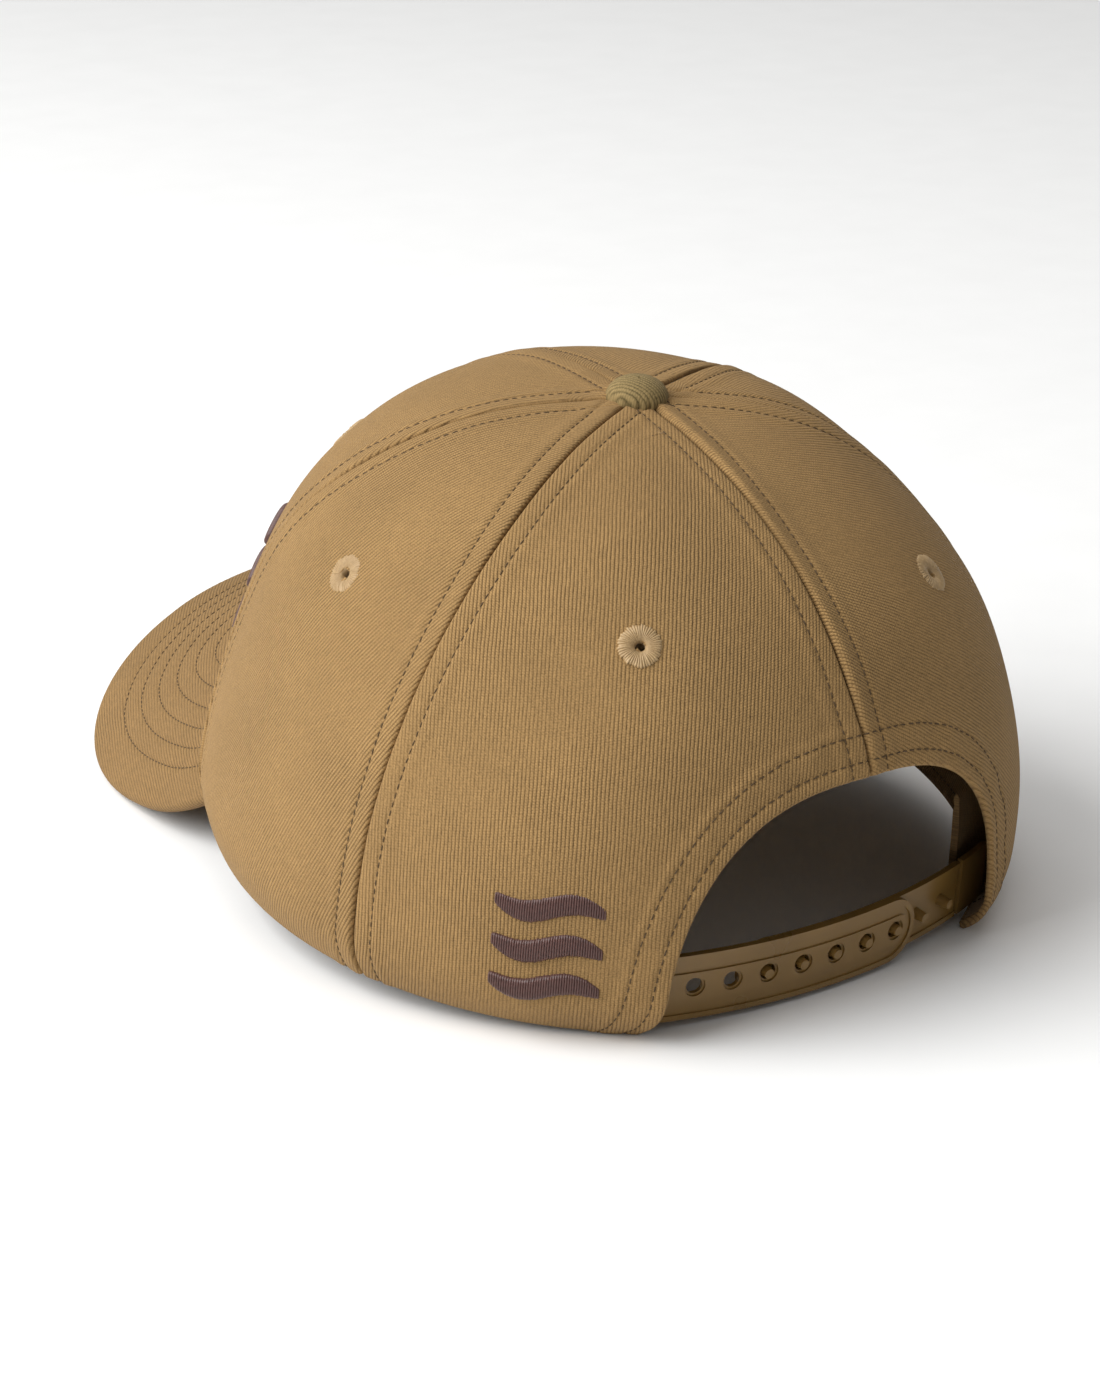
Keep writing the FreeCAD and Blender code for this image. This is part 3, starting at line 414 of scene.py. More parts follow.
# Which edges are sewn to a neighbour and how far that fold stands up, and how the cloth was turned on the
# cutting table, which is why the cords lean differently from gore to gore.
GORES = {
    "back_left": (1, {"right": 0.08, "top": 0.0}, ("left", "bottom"), 0.0),
    "back_right": (-1, {"right": 0.15, "top": 0.5}, ("left", "bottom"), -48.0),
    "side_left": (1, {"left": 0.22, "right": 0.12}, ("bottom",), 21.0),
    "side_right": (-1, {"left": 0.15, "right": 0.12}, ("bottom",), -24.0),
    "front_left": (1, {"left": 0.15, "right": 0.12}, ("bottom",), -30.0),
    "front_right": (-1, {"left": 0.15, "right": 0.12}, ("bottom",), 30.0),
}
gores = {}
for number, (spot, (side, seams, hems, lean)) in enumerate(GORES.items()):
    place = spot.split("_")[0]
    start, end = {"back": (MIDDLE_BACK, BACK_SEAM), "side": (BACK_SEAM, FRONT_SEAM),
                  "front": (FRONT_SEAM, MIDDLE_FRONT)}[place]
    gap = SEAM_HALF_GAP
    if place == "back":
        right = seam_line(end, -gap, 0.0, CROWN_HEIGHT - 0.001)
        top = seam_line(start, gap, arch_line(0)[120, 2], CROWN_HEIGHT - 0.001)
        left = arch_line(0, 0.0, 0.0, math.pi / 2)
        left[-1] = top[0]
        angles = np.linspace(math.atan2(left[0, 0], left[0, 1]), math.atan2(right[0, 0], right[0, 1]), 60)
        bottom = crown(angles, 0.0)
        top[-1] = right[-1] = (0, 0, CROWN_HEIGHT)
        across, upward = (crowded(count) for count in BACK_GRID)
    else:
        lift = VISOR_CREASE if place == "front" else 0.0
        lows = [seam_foot(seam) + lift for seam in (start, end)]
        left = seam_line(start, gap, lows[0], height_near_top(math.radians(start[2]), CROWN_HOLE))
        right = seam_line(end, -gap, lows[1], height_near_top(math.radians(end[2]), CROWN_HOLE))
        angles = np.linspace(math.atan2(left[0, 0], left[0, 1]), math.atan2(right[0, 0], right[0, 1]), 80)
        bottom = crown(angles, crown_edge(angles) + lift)
        top = np.linspace(left[-1], right[-1], 20)
        across, upward = (crowded(count) for count in GORE_GRID)
    base = patch(bottom, top, left, right, across, upward)
    away = distances(base)
    out = outward(base)
    middle = math.radians((start[0] + end[0]) / 2)
    rise = math.acos(1 - 2 * EYELET_HEIGHTS[place] / CROWN_HEIGHT)
    eyelet_angle = math.radians((round_crown(rise, start) + round_crown(rise, end)) / 2)
    eyelet_place = crown(eyelet_angle, EYELET_HEIGHTS[place])
    from_eyelet = np.linalg.norm(base - eyelet_place, axis=-1)
    relief = DENT_DEPTH * uneven(base, DENT_SIZE, 20 + number)
    relief = relief - EYELET_PULL * bump(from_eyelet, 0, EYELET_PULL_REACH)
    relief = relief * (1 - fade(away["bottom"], 0, SMOOTH_ABOVE_EDGE))
    for edge, proud in seams.items():
        d = away[edge]
        relief = relief - SEAM_FOLD_DROP * rounded(d, SEAM_FOLD) / SEAM_FOLD + proud * bump(d, *SEAM_RIDGE)
        relief = relief - ROW_DEPTH * bump(d, SEAM_ROW, ROW_WIDTH)
        relief = relief + SEAM_ALLOWANCE_RISE * fade(d, *SEAM_ALLOWANCE)
        pucker = SEAM_PUCKER * uneven(base, SEAM_PUCKER_SIZE, 40 + number)
        relief = relief + pucker * fade(d, *SEAM_PUCKER_END)
    thickness = np.full(base.shape[:2], CLOTH)
    turned = np.zeros(base.shape[:2])
    for edge in hems:
        d = away[edge]
        turned = np.maximum(turned, rounded(d, HEM_THICKNESS / 2))
        thickness = np.maximum(thickness, CLOTH + (HEM_THICKNESS - CLOTH) * fade(d, *HEM_STEP))
    if place == "back":
        d = away["left"]
        for row in HEM_ROWS:
            pucker = HEM_PUCKER * uneven(base, HEM_PUCKER_SIZE, 60 + number)
            relief = relief - HEM_ROW_DEPTH * bump(d, row, ROW_WIDTH)
            relief = relief + pucker * bump(d, row, HEM_PUCKER_REACH)
        relief = relief + HEM_RISE * fade(d, *HEM_END)
    outer = base + out * (relief - turned)[..., None]
    inner = base - out * (thickness - turned)[..., None]
    height = base[..., 2]
    spine = crown(middle, np.linspace(CROWN_HEIGHT, 0, 400))
    run = length_along(spine)
    up_cloth = -np.interp(CROWN_HEIGHT - height, CROWN_HEIGHT - spine[:, 2], run)
    across_cloth = (np.arctan2(base[..., 0], base[..., 1]) - middle) * np.hypot(base[..., 0], base[..., 1])
    flip = np.array([side, 1.0, 1.0])
    tilt = math.radians(lean)
    cut = np.stack([side * across_cloth * math.cos(tilt) + up_cloth * math.sin(tilt),
                    up_cloth * math.cos(tilt) - side * across_cloth * math.sin(tilt)], -1)
    hole = from_eyelet < PUNCHED_HOLE
    keep = ~(hole[:-1, :-1] & hole[1:, 1:])
    piece = layer("twill_panel_" + spot, outer * flip, inner * flip, cap_twill, cut, keep)
    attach(piece, "crown")
    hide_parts("panel_" + spot)
    gores[spot] = {"points": outer * flip, "out": out * flip, "away": away, "eyelet": eyelet_place * flip}


# ---------------------------------------------------------------- top-stitching on the crown
# Lockstitch in dark brown thread, one row each side of every seam and two round the back opening. Every
# stitch is a short length of twisted thread that goes down into the cloth at both ends.
STITCH_PITCH = 2.1
STITCH_LENGTH = 1.55
THREAD_RADIUS = 0.17
HEM_STITCH = (2.3, 1.7)     # pitch and length


def sewing_thread(name, dark, light):
    """Twisted polyester thread: the plies give it fine dark and light flecks, and it is quite matt."""
    material, tree = finish(name)
    place = add(tree, "TexCoord", {}).node.outputs["Object"]
    plies = add(tree, "TexNoise", {"Vector": place, "Scale": 2600.0, "Detail": 2.0})
    tone = add(tree, "Mix", {0: plies, 6: shade(dark), 7: shade(light)}, data_type="RGBA").node.outputs[2]
    normal = add(tree, "Bump", {"Height": plies, "Distance": 0.00008, "Strength": 0.8})
    surface = add(tree, "BsdfPrincipled", {
        "Base Color": tone, "Roughness": 0.75, "IOR": 1.5, "Specular IOR Level": 0.3, "Normal": normal})
    add(tree, "OutputMaterial", {"Surface": surface})
    return material


def row_at(grid, edge, offset, room=2.3):
    """Line on a gore at an even distance from one edge, with the way out of the cloth."""
    steps, points, out = grid["away"][edge], grid["points"], grid["out"]
    if edge in ("bottom", "top"):
        steps, points, out = steps.T, points.swapaxes(0, 1), out.swapaxes(0, 1)
    if edge in ("right", "top"):
        steps, points, out = steps[:, ::-1], points[:, ::-1], out[:, ::-1]
    wide = steps[:, -1] > room * offset
    strips = [(steps[wide], values[wide]) for values in (points, out)]
    return [np.array([[np.interp(offset, step, strip[:, k]) for k in range(3)] for step, strip in zip(*pair)])
            for pair in strips]


def stitch(name, rows, material, seed, pitch=STITCH_PITCH, length=STITCH_LENGTH, radius=THREAD_RADIUS):
    """All the stitches of several rows as one piece of thread work."""
    chance = np.random.default_rng(seed)
    share = np.array([0.0, 0.16, 0.5, 0.84, 1.0])
    girth = radius * np.array([0.55, 0.95, 1.0, 0.95, 0.55])
    rise = radius * np.array([-1.1, 0.15, 0.45, 0.15, -1.1])
    sides = 6
    turn = np.linspace(0, 2 * math.pi, sides, endpoint=False)
    vertices, faces = [], []
    for line, out in rows:
        run = length_along(line)
        count = int(run[-1] / pitch)
        start = (np.arange(count) + chance.uniform(0.1, 0.5)) * pitch + chance.normal(0, 0.06, count)
        goal = (start[:, None] + length * share).ravel()
        centre = np.stack([np.interp(goal, run, line[:, k]) for k in range(3)], -1).reshape(count, 5, 3)
        way = np.stack([np.interp(goal, run, out[:, k]) for k in range(3)], -1).reshape(count, 5, 3)
        way /= np.linalg.norm(way, axis=-1, keepdims=True)
        ahead = np.gradient(centre, axis=1)
        beside = np.cross(ahead, way)
        beside /= np.maximum(np.linalg.norm(beside, axis=-1, keepdims=True), 1e-9)
        slant = chance.normal(0, 0.05, count)[:, None, None] * (share - 0.5)[None, :, None] * length
        centre = centre + way * rise[None, :, None] + beside * slant
        spokes = (beside[:, :, None] * np.cos(turn)[None, None, :, None]
                  + way[:, :, None] * np.sin(turn)[None, None, :, None])
        rings = centre[:, :, None] + girth[None, :, None, None] * spokes
        first = len(vertices) * 5 * sides
        vertices.extend(rings.reshape(count, -1, 3))
        for k in range(count):
            at = first + k * 5 * sides
            for ring in range(4):
                for n in range(sides):
                    m = (n + 1) % sides
                    faces.append([at + ring * sides + n, at + ring * sides + m,
                                  at + (ring + 1) * sides + m, at + (ring + 1) * sides + n])
            faces.append([at + n for n in reversed(range(sides))])
            faces.append([at + 4 * sides + n for n in range(sides)])
    piece = make(name, stand(np.concatenate(vertices)), faces, material)
    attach(piece, "crown")
    return piece


brown_thread = sewing_thread("polyester_thread_dark_brown", "#33261a", "#665033")
seam_rows = [row_at(gores[spot], edge, SEAM_ROW)
             for spot, (_, seams, _, _) in GORES.items() for edge in seams]
stitch("seam_topstitching", seam_rows, brown_thread, 3)
hem_rows = [row_at(gores[spot], "left", row) for spot in ("back_left", "back_right") for row in HEM_ROWS]
stitch("hem_topstitching", hem_rows, brown_thread, 4, *HEM_STITCH)


# ---------------------------------------------------------------- linings inside the crown
# A strip of plain-woven cotton faces the turned edge of the back opening, and folded tapes of the same
# cotton cover the seams. Behind the two front gores lies buckram, a stiffened open weave.
FACING_DEPTH = 1.3
FACING_THICKNESS = 0.45
FACING_WIDTH = 11.0
FACING_EDGE = 1.9           # from the fold of the back opening
TAPE_HALF_WIDTH = 8.0
TAPE_TOP = 112.0
TAPE_THICKNESS = 0.3
TAPE_LIFT = 4.0             # the tapes start this far above the crown's edge
BUCKRAM_FROM = 1.3
BUCKRAM_TO = 1.8
BUCKRAM_LIFT = 5.0
BUCKRAM_TOP = 110.0
FRONT_TAPE_DEPTH = 2.05


def plain_weave(name, high, low, thread, relief):
    """Plain weave: threads over and under each other in a fine even grid, quite matt."""
    material, tree = finish(name)
    pattern = add(tree, "UVMap", {}, uv_map="cut")
    ways = add(tree, "SeparateXYZ", {0: pattern}).node.outputs
    threads = []
    for k in (0, 1):
        turn = add(tree, "Math", {0: ways[k], 1: math.pi / thread}, operation="MULTIPLY")
        wave = add(tree, "Math", {0: turn}, operation="SINE")
        threads.append(add(tree, "Math", {0: wave}, operation="ABSOLUTE"))
    weave = add(tree, "Math", {0: threads[0], 1: threads[1]}, operation="MULTIPLY")
    fluff = add(tree, "TexNoise", {"Vector": pattern, "Scale": 1.7, "Detail": 4.0})
    height = add(tree, "Math", {0: fluff, 1: 0.5, 2: weave}, operation="MULTIPLY_ADD")
    # The colour follows the relief: painted shade in the hollows between the threads, flecked by the fluff's
    # noise.
    tone = add(tree, "Mix", {0: height, 6: shade(low), 7: shade(high)}, data_type="RGBA").node.outputs[2]
    normal = add(tree, "Bump", {"Height": height, "Distance": relief, "Strength": 0.8})
    surface = add(tree, "BsdfPrincipled", {
        "Base Color": tone, "Roughness": 0.9, "IOR": 1.5, "Specular IOR Level": 0.2, "Sheen Weight": 0.1,
        "Normal": normal})
    add(tree, "OutputMaterial", {"Surface": surface})
    return material


# The second colour of each weave is painted shade in the hollows between its threads.
tape_cotton = plain_weave("plain_woven_cotton_tape", "#a58a66", "#6f573a", 0.9, 0.00012)
buckram = plain_weave("stiffened_buckram", "#a9a396", "#6c675c", 1.3, 0.00020)


def lining(name, node, grid, depth_near, depth_far, material, swell=0.0):
    """Thin layer of cloth on the inside of the dome, slightly puffed between its edges."""
    away, out = distances(grid), outward(grid)
    edge = np.minimum(np.minimum(away["left"], away["right"]), np.minimum(away["bottom"], away["top"]))
    turned = rounded(edge, 0.25)
    puff = swell * uneven(grid, 18, len(name))
    outer = grid - out * (depth_near + turned)[..., None]
    inner = grid - out * (depth_far - turned + puff)[..., None]
    cut = np.stack([away["left"], away["bottom"]], -1)
    piece = layer(name, outer, inner, material, cut)
    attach(piece, "crown")
    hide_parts(node)
    return {"points": inner, "out": -out, "away": away}


facing = np.stack([arch_line(grow, count=260) for grow in np.linspace(FACING_EDGE, FACING_WIDTH, 12)])
faced = lining("arch_facing_cotton", "arch_facing", facing, FACING_DEPTH, FACING_DEPTH + FACING_THICKNESS,
               tape_cotton, 0.08)
inner_rows = [row_at(faced, "bottom", HEM_ROWS[1] - FACING_EDGE, 1.1)]

TAPES = {
    "tape_middle_back": (MIDDLE_BACK, 1, FACING_DEPTH, ARCH_HEIGHT + FACING_WIDTH + 1.0),
    "tape_middle_front": (MIDDLE_FRONT, 1, FRONT_TAPE_DEPTH, None),
    "tape_side_back_left": (BACK_SEAM, 1, FACING_DEPTH, None),
    "tape_side_back_right": (BACK_SEAM, -1, FACING_DEPTH, None),
    "tape_side_front_left": (FRONT_SEAM, 1, FRONT_TAPE_DEPTH, None),
    "tape_side_front_right": (FRONT_SEAM, -1, FRONT_TAPE_DEPTH, None),
}
for name, (seam, side, depth, low) in TAPES.items():
    if low is None:
        low = seam_foot(seam) + TAPE_LIFT
    strip = np.stack([even(seam_line(seam, shift, low, TAPE_TOP), np.linspace(0, 1, 90))
                      for shift in np.linspace(-TAPE_HALF_WIDTH, TAPE_HALF_WIDTH, 15)], axis=1)
    taped = lining(name + "_cotton", name, strip * np.array([side, 1, 1]), depth, depth + TAPE_THICKNESS,
                   tape_cotton, 0.1)
    inner_rows.extend(row_at(taped, edge, TAPE_HALF_WIDTH - SEAM_ROW) for edge in ("left", "right"))

for side, spot in ((1, "left"), (-1, "right")):
    left = seam_line(FRONT_SEAM, 0.6, seam_foot(FRONT_SEAM) + BUCKRAM_LIFT, BUCKRAM_TOP)
    right = seam_line(MIDDLE_FRONT, -0.2, seam_foot(MIDDLE_FRONT) + BUCKRAM_LIFT, BUCKRAM_TOP)
    angles = np.linspace(math.atan2(left[0, 0], left[0, 1]), math.atan2(right[0, 0], right[0, 1]), 60)
    bottom = crown(angles, crown_edge(angles) + BUCKRAM_LIFT)
    top = np.linspace(left[-1], right[-1], 20)
    stiff = patch(bottom, top, left, right, np.linspace(0, 1, 60), np.linspace(0, 1, 80))
    lining("buckram_front_" + spot, "stiffener_" + spot, stiff * np.array([side, 1, 1]),
           BUCKRAM_FROM, BUCKRAM_TO, buckram, 0.05)
stitch("lining_stitching", inner_rows, brown_thread, 5)


# ---------------------------------------------------------------- sweatband
# A folded band of the same twill over thin foam, sewn to the lower edge and turned up inside. The strap
# draws its two ends in towards the head. The foam rounds its face between the rows of stitching.
BAND_FROM = 2.65
BAND_TO = 3.7
BAND_HEIGHT = 32.0
BAND_DRAWN_IN = 8.8
BAND_DRAWN_OVER = 0.36
BAND_SWELL = 0.5
BAND_ROW = 3.0              # stitching, from each edge of the band
BAND_ROW_DEPTH = 0.3
BAND_ROW_WIDTH = 0.7
BAND_FOLD = 0.55            # radius of the fold at its two edges
BAND_DENTS = 0.15
BAND_POINTS = 320           # along the band
BAND_LIFT = 0.6
BAND_END_GAP = 1.0          # from the foot of the back opening to the band's end
BACK_RADIUS = 97.0          # of the crown's edge beside the opening
band_twill = twill("brushed_cotton_twill_sweatband", "#886b44", "#58432a", RIB, PICK, 0.00016, 0.08)
start = math.asin((ARCH_HALF_WIDTH + BAND_END_GAP) / (BACK_RADIUS - BAND_DRAWN_IN))
angles = np.linspace(start, 2 * math.pi - start, BAND_POINTS)
from_end = np.clip((np.minimum(angles, 2 * math.pi - angles) - start) / BAND_DRAWN_OVER, 0, 1)
drawn = BAND_DRAWN_IN * (1 - from_end * from_end * (3 - 2 * from_end))
share = np.linspace(0, 1, 30)[:, None]
low = crown_edge(angles) + BAND_LIFT
heights = low[None, :] + BAND_HEIGHT * share
faces_out, faces_in = (crown(angles[None, :], heights, (depth + drawn)[None, :])
                       for depth in (BAND_FROM, BAND_TO))
band_out = outward(faces_in)
edge_fall = rounded(np.minimum(share, 1 - share) * BAND_HEIGHT, BAND_FOLD)
swell = BAND_SWELL * (4 * share * (1 - share)) ** 0.6
for row in (BAND_ROW, BAND_HEIGHT - BAND_ROW):
    swell = swell - BAND_ROW_DEPTH * bump(share * BAND_HEIGHT, row, BAND_ROW_WIDTH)
swell = swell + BAND_DENTS * uneven(faces_in, 22, 9)
band_inner = faces_in - band_out * (swell - edge_fall)[..., None]
band_outer = faces_out - band_out * (edge_fall * np.ones(BAND_POINTS))[..., None]
run = length_along(faces_in[15])
band_cut = np.stack(np.broadcast_arrays(run[None, :], share * BAND_HEIGHT), -1)
band = layer("sweatband_twill", band_outer, band_inner, band_twill, band_cut)
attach(band, "crown")
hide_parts("sweatband")
band_grid = {"points": band_inner, "out": -band_out, "away": distances(faces_in)}
band_rows = [row_at(band_grid, edge, BAND_ROW) for edge in ("bottom", "top")]
stitch("sweatband_stitching", band_rows, brown_thread, 6)


# ---------------------------------------------------------------- visor
# Two layers of twill over a polythene board, sewn together, turned over the edge of the board and then
# quilted with rows of stitching that run parallel to the edge. It is bent round a cylinder.
VISOR_HALF_WIDTH = 103.0
VISOR_LENGTH = 51.0
VISOR_WIDEST = -56.8
VISOR_POWER = 3.08
VISOR_CORNER = 55.0
CORNER_WIDTH = 4.0
CORNER_TAPER = 30.0
VISOR_THICK = 3.8
VISOR_ROWS = [12.0 + 5.8 * k for k in range(6)]
VISOR_SEAM_DEPTH = 2.05
VISOR_CLOTH = 0.7
VISOR_WRAP = 138            # degrees that the upper cloth turns round the edge, to meet the under cloth
VISOR_INSIDE = np.array([0.0, -30.0])       # a place well within the edge
QUILT_DEPTH = 0.30
QUILT_WIDTH = 0.75
EDGE_SWELL = 0.12           # between the edge and the first row
VISOR_POINTS = 361          # across the visor
VISOR_LEAN = 35             # of the cords, in degrees
VISOR_STITCH = (1.9, 1.35)
# The visor's twill is the crown's cloth painted a little darker: painted shade for the softer light the visor lies
# in.
shaded_visor_twill = twill("brushed_cotton_twill_visor_painted_shade", "#8c6e45", "#5a4326", RIB, PICK, 0.00018, 0.05)


def bent(across, ahead, depth):
    """Place on the visor of a point of its flat pattern, at a depth below its upper face."""
    roll = across / VISOR_ROLL
    slant, level = math.sin(VISOR_SLOPE), math.cos(VISOR_SLOPE)
    face = np.stack([VISOR_ROLL * np.sin(roll), -(CROWN_FRONT + ahead * level),
                     VISOR_TOP - ahead * slant - VISOR_ROLL * (1 - np.cos(roll))], -1)
    out = np.stack([np.sin(roll) * level, -np.cos(roll) * slant, np.cos(roll) * level], -1)
    out /= np.linalg.norm(out, axis=-1, keepdims=True)
    return face - out * np.asarray(depth)[..., None], out


share = np.linspace(-1, 1, VISOR_POINTS)
seam_angles = math.pi - share * math.radians(VISOR_CORNER)
seam_points = crown(seam_angles, np.maximum(crown_edge(seam_angles), 0), VISOR_SEAM_DEPTH)
seam_across = VISOR_ROLL * np.arcsin(np.clip(seam_points[:, 0] / VISOR_ROLL, -1, 1))
seam_ahead = -(seam_points[:, 1] + CROWN_FRONT) / math.cos(VISOR_SLOPE)


def visor_edge(share, inset):
    """Outer edge of the pattern, from the wearer's right corner to the left."""
    turn = math.pi / 2 - share * (math.pi / 2 - math.radians(1.0))
    c, s = np.cos(turn), np.sin(turn)
    half, reach = VISOR_HALF_WIDTH - inset, VISOR_LENGTH - inset - VISOR_WIDEST
    across = half * np.sign(c) * np.abs(c) ** (2 / VISOR_POWER)
    ahead = VISOR_WIDEST + reach * np.abs(s) ** (2 / VISOR_POWER)
    near = np.clip(1 - (ahead - seam_ahead[-1]) / CORNER_TAPER, 0, 1)
    return across - np.sign(c) * (half - seam_across[-1] - CORNER_WIDTH + inset) * near * near, ahead


half_thick = VISOR_THICK / 2
edge_across, edge_ahead = visor_edge(share, half_thick)
line = np.stack([edge_across, edge_ahead, 0 * share], -1)
fine = even(line, np.linspace(0, 1, VISOR_POINTS))
sewn = even(np.stack([seam_across, seam_ahead, 0 * share], -1), np.linspace(0, 1, VISOR_POINTS))
steps = crowded(72, 0.35)[:, None]
flat = fine[None, :, :2] + (sewn[None, :, :2] - fine[None, :, :2]) * steps[..., None]
from_edge = np.empty(flat.shape[:2])
for k in range(len(flat)):
    from_rim = np.linalg.norm(flat[k][:, None] - fine[None, ::2, :2], axis=-1)
    from_edge[k] = half_thick + np.min(from_rim, axis=1)
quilt = sum(-QUILT_DEPTH * bump(from_edge, row, QUILT_WIDTH) for row in VISOR_ROWS)
quilt = quilt + EDGE_SWELL * np.sin(math.pi * np.clip(from_edge, 0, VISOR_ROWS[0]) / VISOR_ROWS[0])
tangent = np.gradient(fine[:, :2], axis=0)
beyond = np.stack([-tangent[:, 1], tangent[:, 0]], -1)
beyond /= np.linalg.norm(beyond, axis=1, keepdims=True)
beyond *= np.sign(np.sum(beyond * (fine[:, :2] - VISOR_INSIDE), 1, keepdims=True))
for upper, name, node in ((True, "visor_cover_top", "visor_cloth_top"),
                          (False, "visor_cover_under", "visor_cloth_under")):
    wrapped = np.linspace(VISOR_WRAP, 0, 16) if upper else np.linspace(180 - VISOR_WRAP, 0, 7)
    turns = np.radians(wrapped)[:-1, None]
    rolled = fine[None, :, :2] + beyond[None] * (half_thick * np.sin(turns))[..., None]
    rolled_depth = half_thick * (1 - np.cos(turns)) * np.ones(VISOR_POINTS)
    pattern = np.concatenate([rolled, flat])
    dents = 0.06 * uneven(np.dstack([flat, 0 * from_edge]), 14, 11 + upper)
    depth = np.concatenate([rolled_depth, -(quilt + dents)])
    depth = depth if upper else VISOR_THICK - depth
    into = np.concatenate([np.cos(turns) * np.ones(VISOR_POINTS), np.ones(from_edge.shape)])
    outer, out = bent(pattern[..., 0], pattern[..., 1], depth)
    inset = np.concatenate([rolled - beyond[None] * (VISOR_CLOTH * np.sin(turns))[..., None], flat])
    inner, _ = bent(inset[..., 0], inset[..., 1], depth + (VISOR_CLOTH if upper else -VISOR_CLOTH) * into)
    slope = math.radians(VISOR_LEAN if upper else -VISOR_LEAN)
    cut = np.stack([pattern[..., 0] * math.cos(slope) + pattern[..., 1] * math.sin(slope),
                    pattern[..., 1] * math.cos(slope) - pattern[..., 0] * math.sin(slope)], -1)
    piece = layer(name, outer, inner, shaded_visor_twill, cut)
    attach(piece, "crown")
    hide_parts(node)
    rows = []
    way = out if upper else -out
    for offset in VISOR_ROWS:
        reaches = from_edge[-1] > offset + 1.5
        line, ways = [], []
        for k in np.flatnonzero(reaches):
            j = int(np.argmax(from_edge[:, k] > offset))
            mix = (offset - from_edge[j - 1, k]) / (from_edge[j, k] - from_edge[j - 1, k])
            j += len(rolled)
            line.append(outer[j - 1, k] * (1 - mix) + outer[j, k] * mix)
            ways.append(way[j, k])
        rows.append((np.array(line), np.array(ways)))
    stitch("visor_stitching_" + ("top" if upper else "under"), rows, brown_thread, 7 + upper, *VISOR_STITCH)

board, tree = finish("polythene_visor_board")
place = add(tree, "TexCoord", {}).node.outputs["Object"]
speck = add(tree, "TexNoise", {"Vector": place, "Scale": 300.0})
blend = add(tree, "Mix", {0: speck, 6: shade("#7d6645"), 7: shade("#8f7752")}, data_type="RGBA")
tone = blend.node.outputs[2]
surface = add(tree, "BsdfPrincipled", {"Base Color": tone, "Roughness": 0.5, "IOR": 1.5})
add(tree, "OutputMaterial", {"Surface": surface})
node = frame["nodes"]["visor_board"]
node.data.materials.clear()
node.data.materials.append(board)


# ---------------------------------------------------------------- eyelets
# Six vents worked in satin stitch: nearly fifty strands of glossy pale thread wrapped from the punched hole
# outwards, so that the ring is round-backed, ridged and a little ragged round its outer edge.
EYELET_HOLE = 1.1
EYELET_RADIUS = 4.9
EYELET_RISE = 0.75
EYELET_UNDER = 0.6          # thread inside the cloth
EYELET_STRANDS = 46
EYELET_POINTS = 5           # round the ring, for each strand


def satin_thread(name, dark, light, gloss):
    """Rayon embroidery thread: smooth strands laid side by side, with a silky gloss."""
    material, tree = finish(name)
    place = add(tree, "TexCoord", {}).node.outputs["Object"]
    strands = add(tree, "TexNoise", {"Vector": place, "Scale": 1500.0, "Detail": 3.0})
    tone = add(tree, "Mix", {0: strands, 6: shade(dark), 7: shade(light)}, data_type="RGBA").node.outputs[2]
    normal = add(tree, "Bump", {"Height": strands, "Distance": 0.00008, "Strength": 0.7})
    surface = add(tree, "BsdfPrincipled", {
        "Base Color": tone, "Roughness": gloss, "IOR": 1.5, "Normal": normal})
    add(tree, "OutputMaterial", {"Surface": surface})
    return material


pale_thread = satin_thread("rayon_thread_pale_khaki", "#8a6f49", "#bc9f74", 0.5)
for number, (spot, gore) in enumerate(gores.items()):
    centre = gore["eyelet"]
    chance = np.random.default_rng(70 + number)
    up = np.array([0.0, 0.0, 1.0])
    around = np.array([[[-1.0, 0.0, -1.0], [1.0, 0.0, -1.0]], [[-1.0, 0.0, 1.0], [1.0, 0.0, 1.0]]])
    out = outward(onto_crown(centre + around))[0, 0]
    beside = np.cross(up, out)
    beside /= np.linalg.norm(beside)
    up = np.cross(out, beside)
    turn = np.linspace(0, 2 * math.pi, EYELET_STRANDS * EYELET_POINTS, endpoint=False)
    strand = np.arange(len(turn)) // EYELET_POINTS
    ridge = np.abs(np.sin(turn * EYELET_STRANDS / 2)) ** 0.6
    reach = EYELET_RADIUS + chance.normal(0, 0.16, EYELET_STRANDS)[strand] - 0.25 * (1 - ridge)
    arc = np.linspace(0, 1, 15)[:, None]
    radius = EYELET_HOLE + (reach - EYELET_HOLE) * (0.5 - 0.5 * np.cos(math.pi * arc))
    swell = np.sin(math.pi * arc)
    rise = EYELET_RISE * np.sin(math.pi * arc ** 0.8) ** 0.7 - 0.9 * (1 - arc) ** 3 + 0.2 * ridge * swell
    rise = rise - 0.3 + 0.1 * chance.normal(0, 0.4, EYELET_STRANDS)[strand] * swell
    spots = centre + (radius * np.cos(turn))[..., None] * beside + (radius * np.sin(turn))[..., None] * up
    spots = onto_crown(spots)
    under = spots + out * (np.minimum(rise, 0) - EYELET_UNDER)[..., None]
    piece = layer("eyelet_ring_" + spot, spots + out * rise[..., None], under, pale_thread, ring=True,
                  crease=80)
    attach(piece, "crown")
    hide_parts("eyelet_" + spot)


# ---------------------------------------------------------------- button
# A pressed metal shell covered in olive twill, riveted through the top where the six gores meet. The
# cloth is pulled tight over the crest and gathers into small pleats where it is turned under.
BUTTON_RADIUS = 7.0
BUTTON_RISE = 4.6
BUTTON_GRAIN = math.radians(25)
BUTTON_SEAT = 0.15          # its middle lies this far above the top of the dome
BUTTON_CLOTH = 0.6
BUTTON_CORD = 0.12          # height of a cord over the crest
PLEATS = 17
PLEAT_DEPTH = 0.22
olive_twill = twill("cotton_twill_olive", "#8f7a50", "#524628", RIB, PICK, 0.00016, 0.12)
turn = np.linspace(0, 2 * math.pi, 180, endpoint=False)
arc = np.linspace(0.02, 1.12, 40)[:, None]
radius = BUTTON_RADIUS * np.sin(arc * math.pi / 2) ** 0.85
crest = CROWN_HEIGHT + BUTTON_SEAT + BUTTON_RISE * np.cos(arc * math.pi / 2)
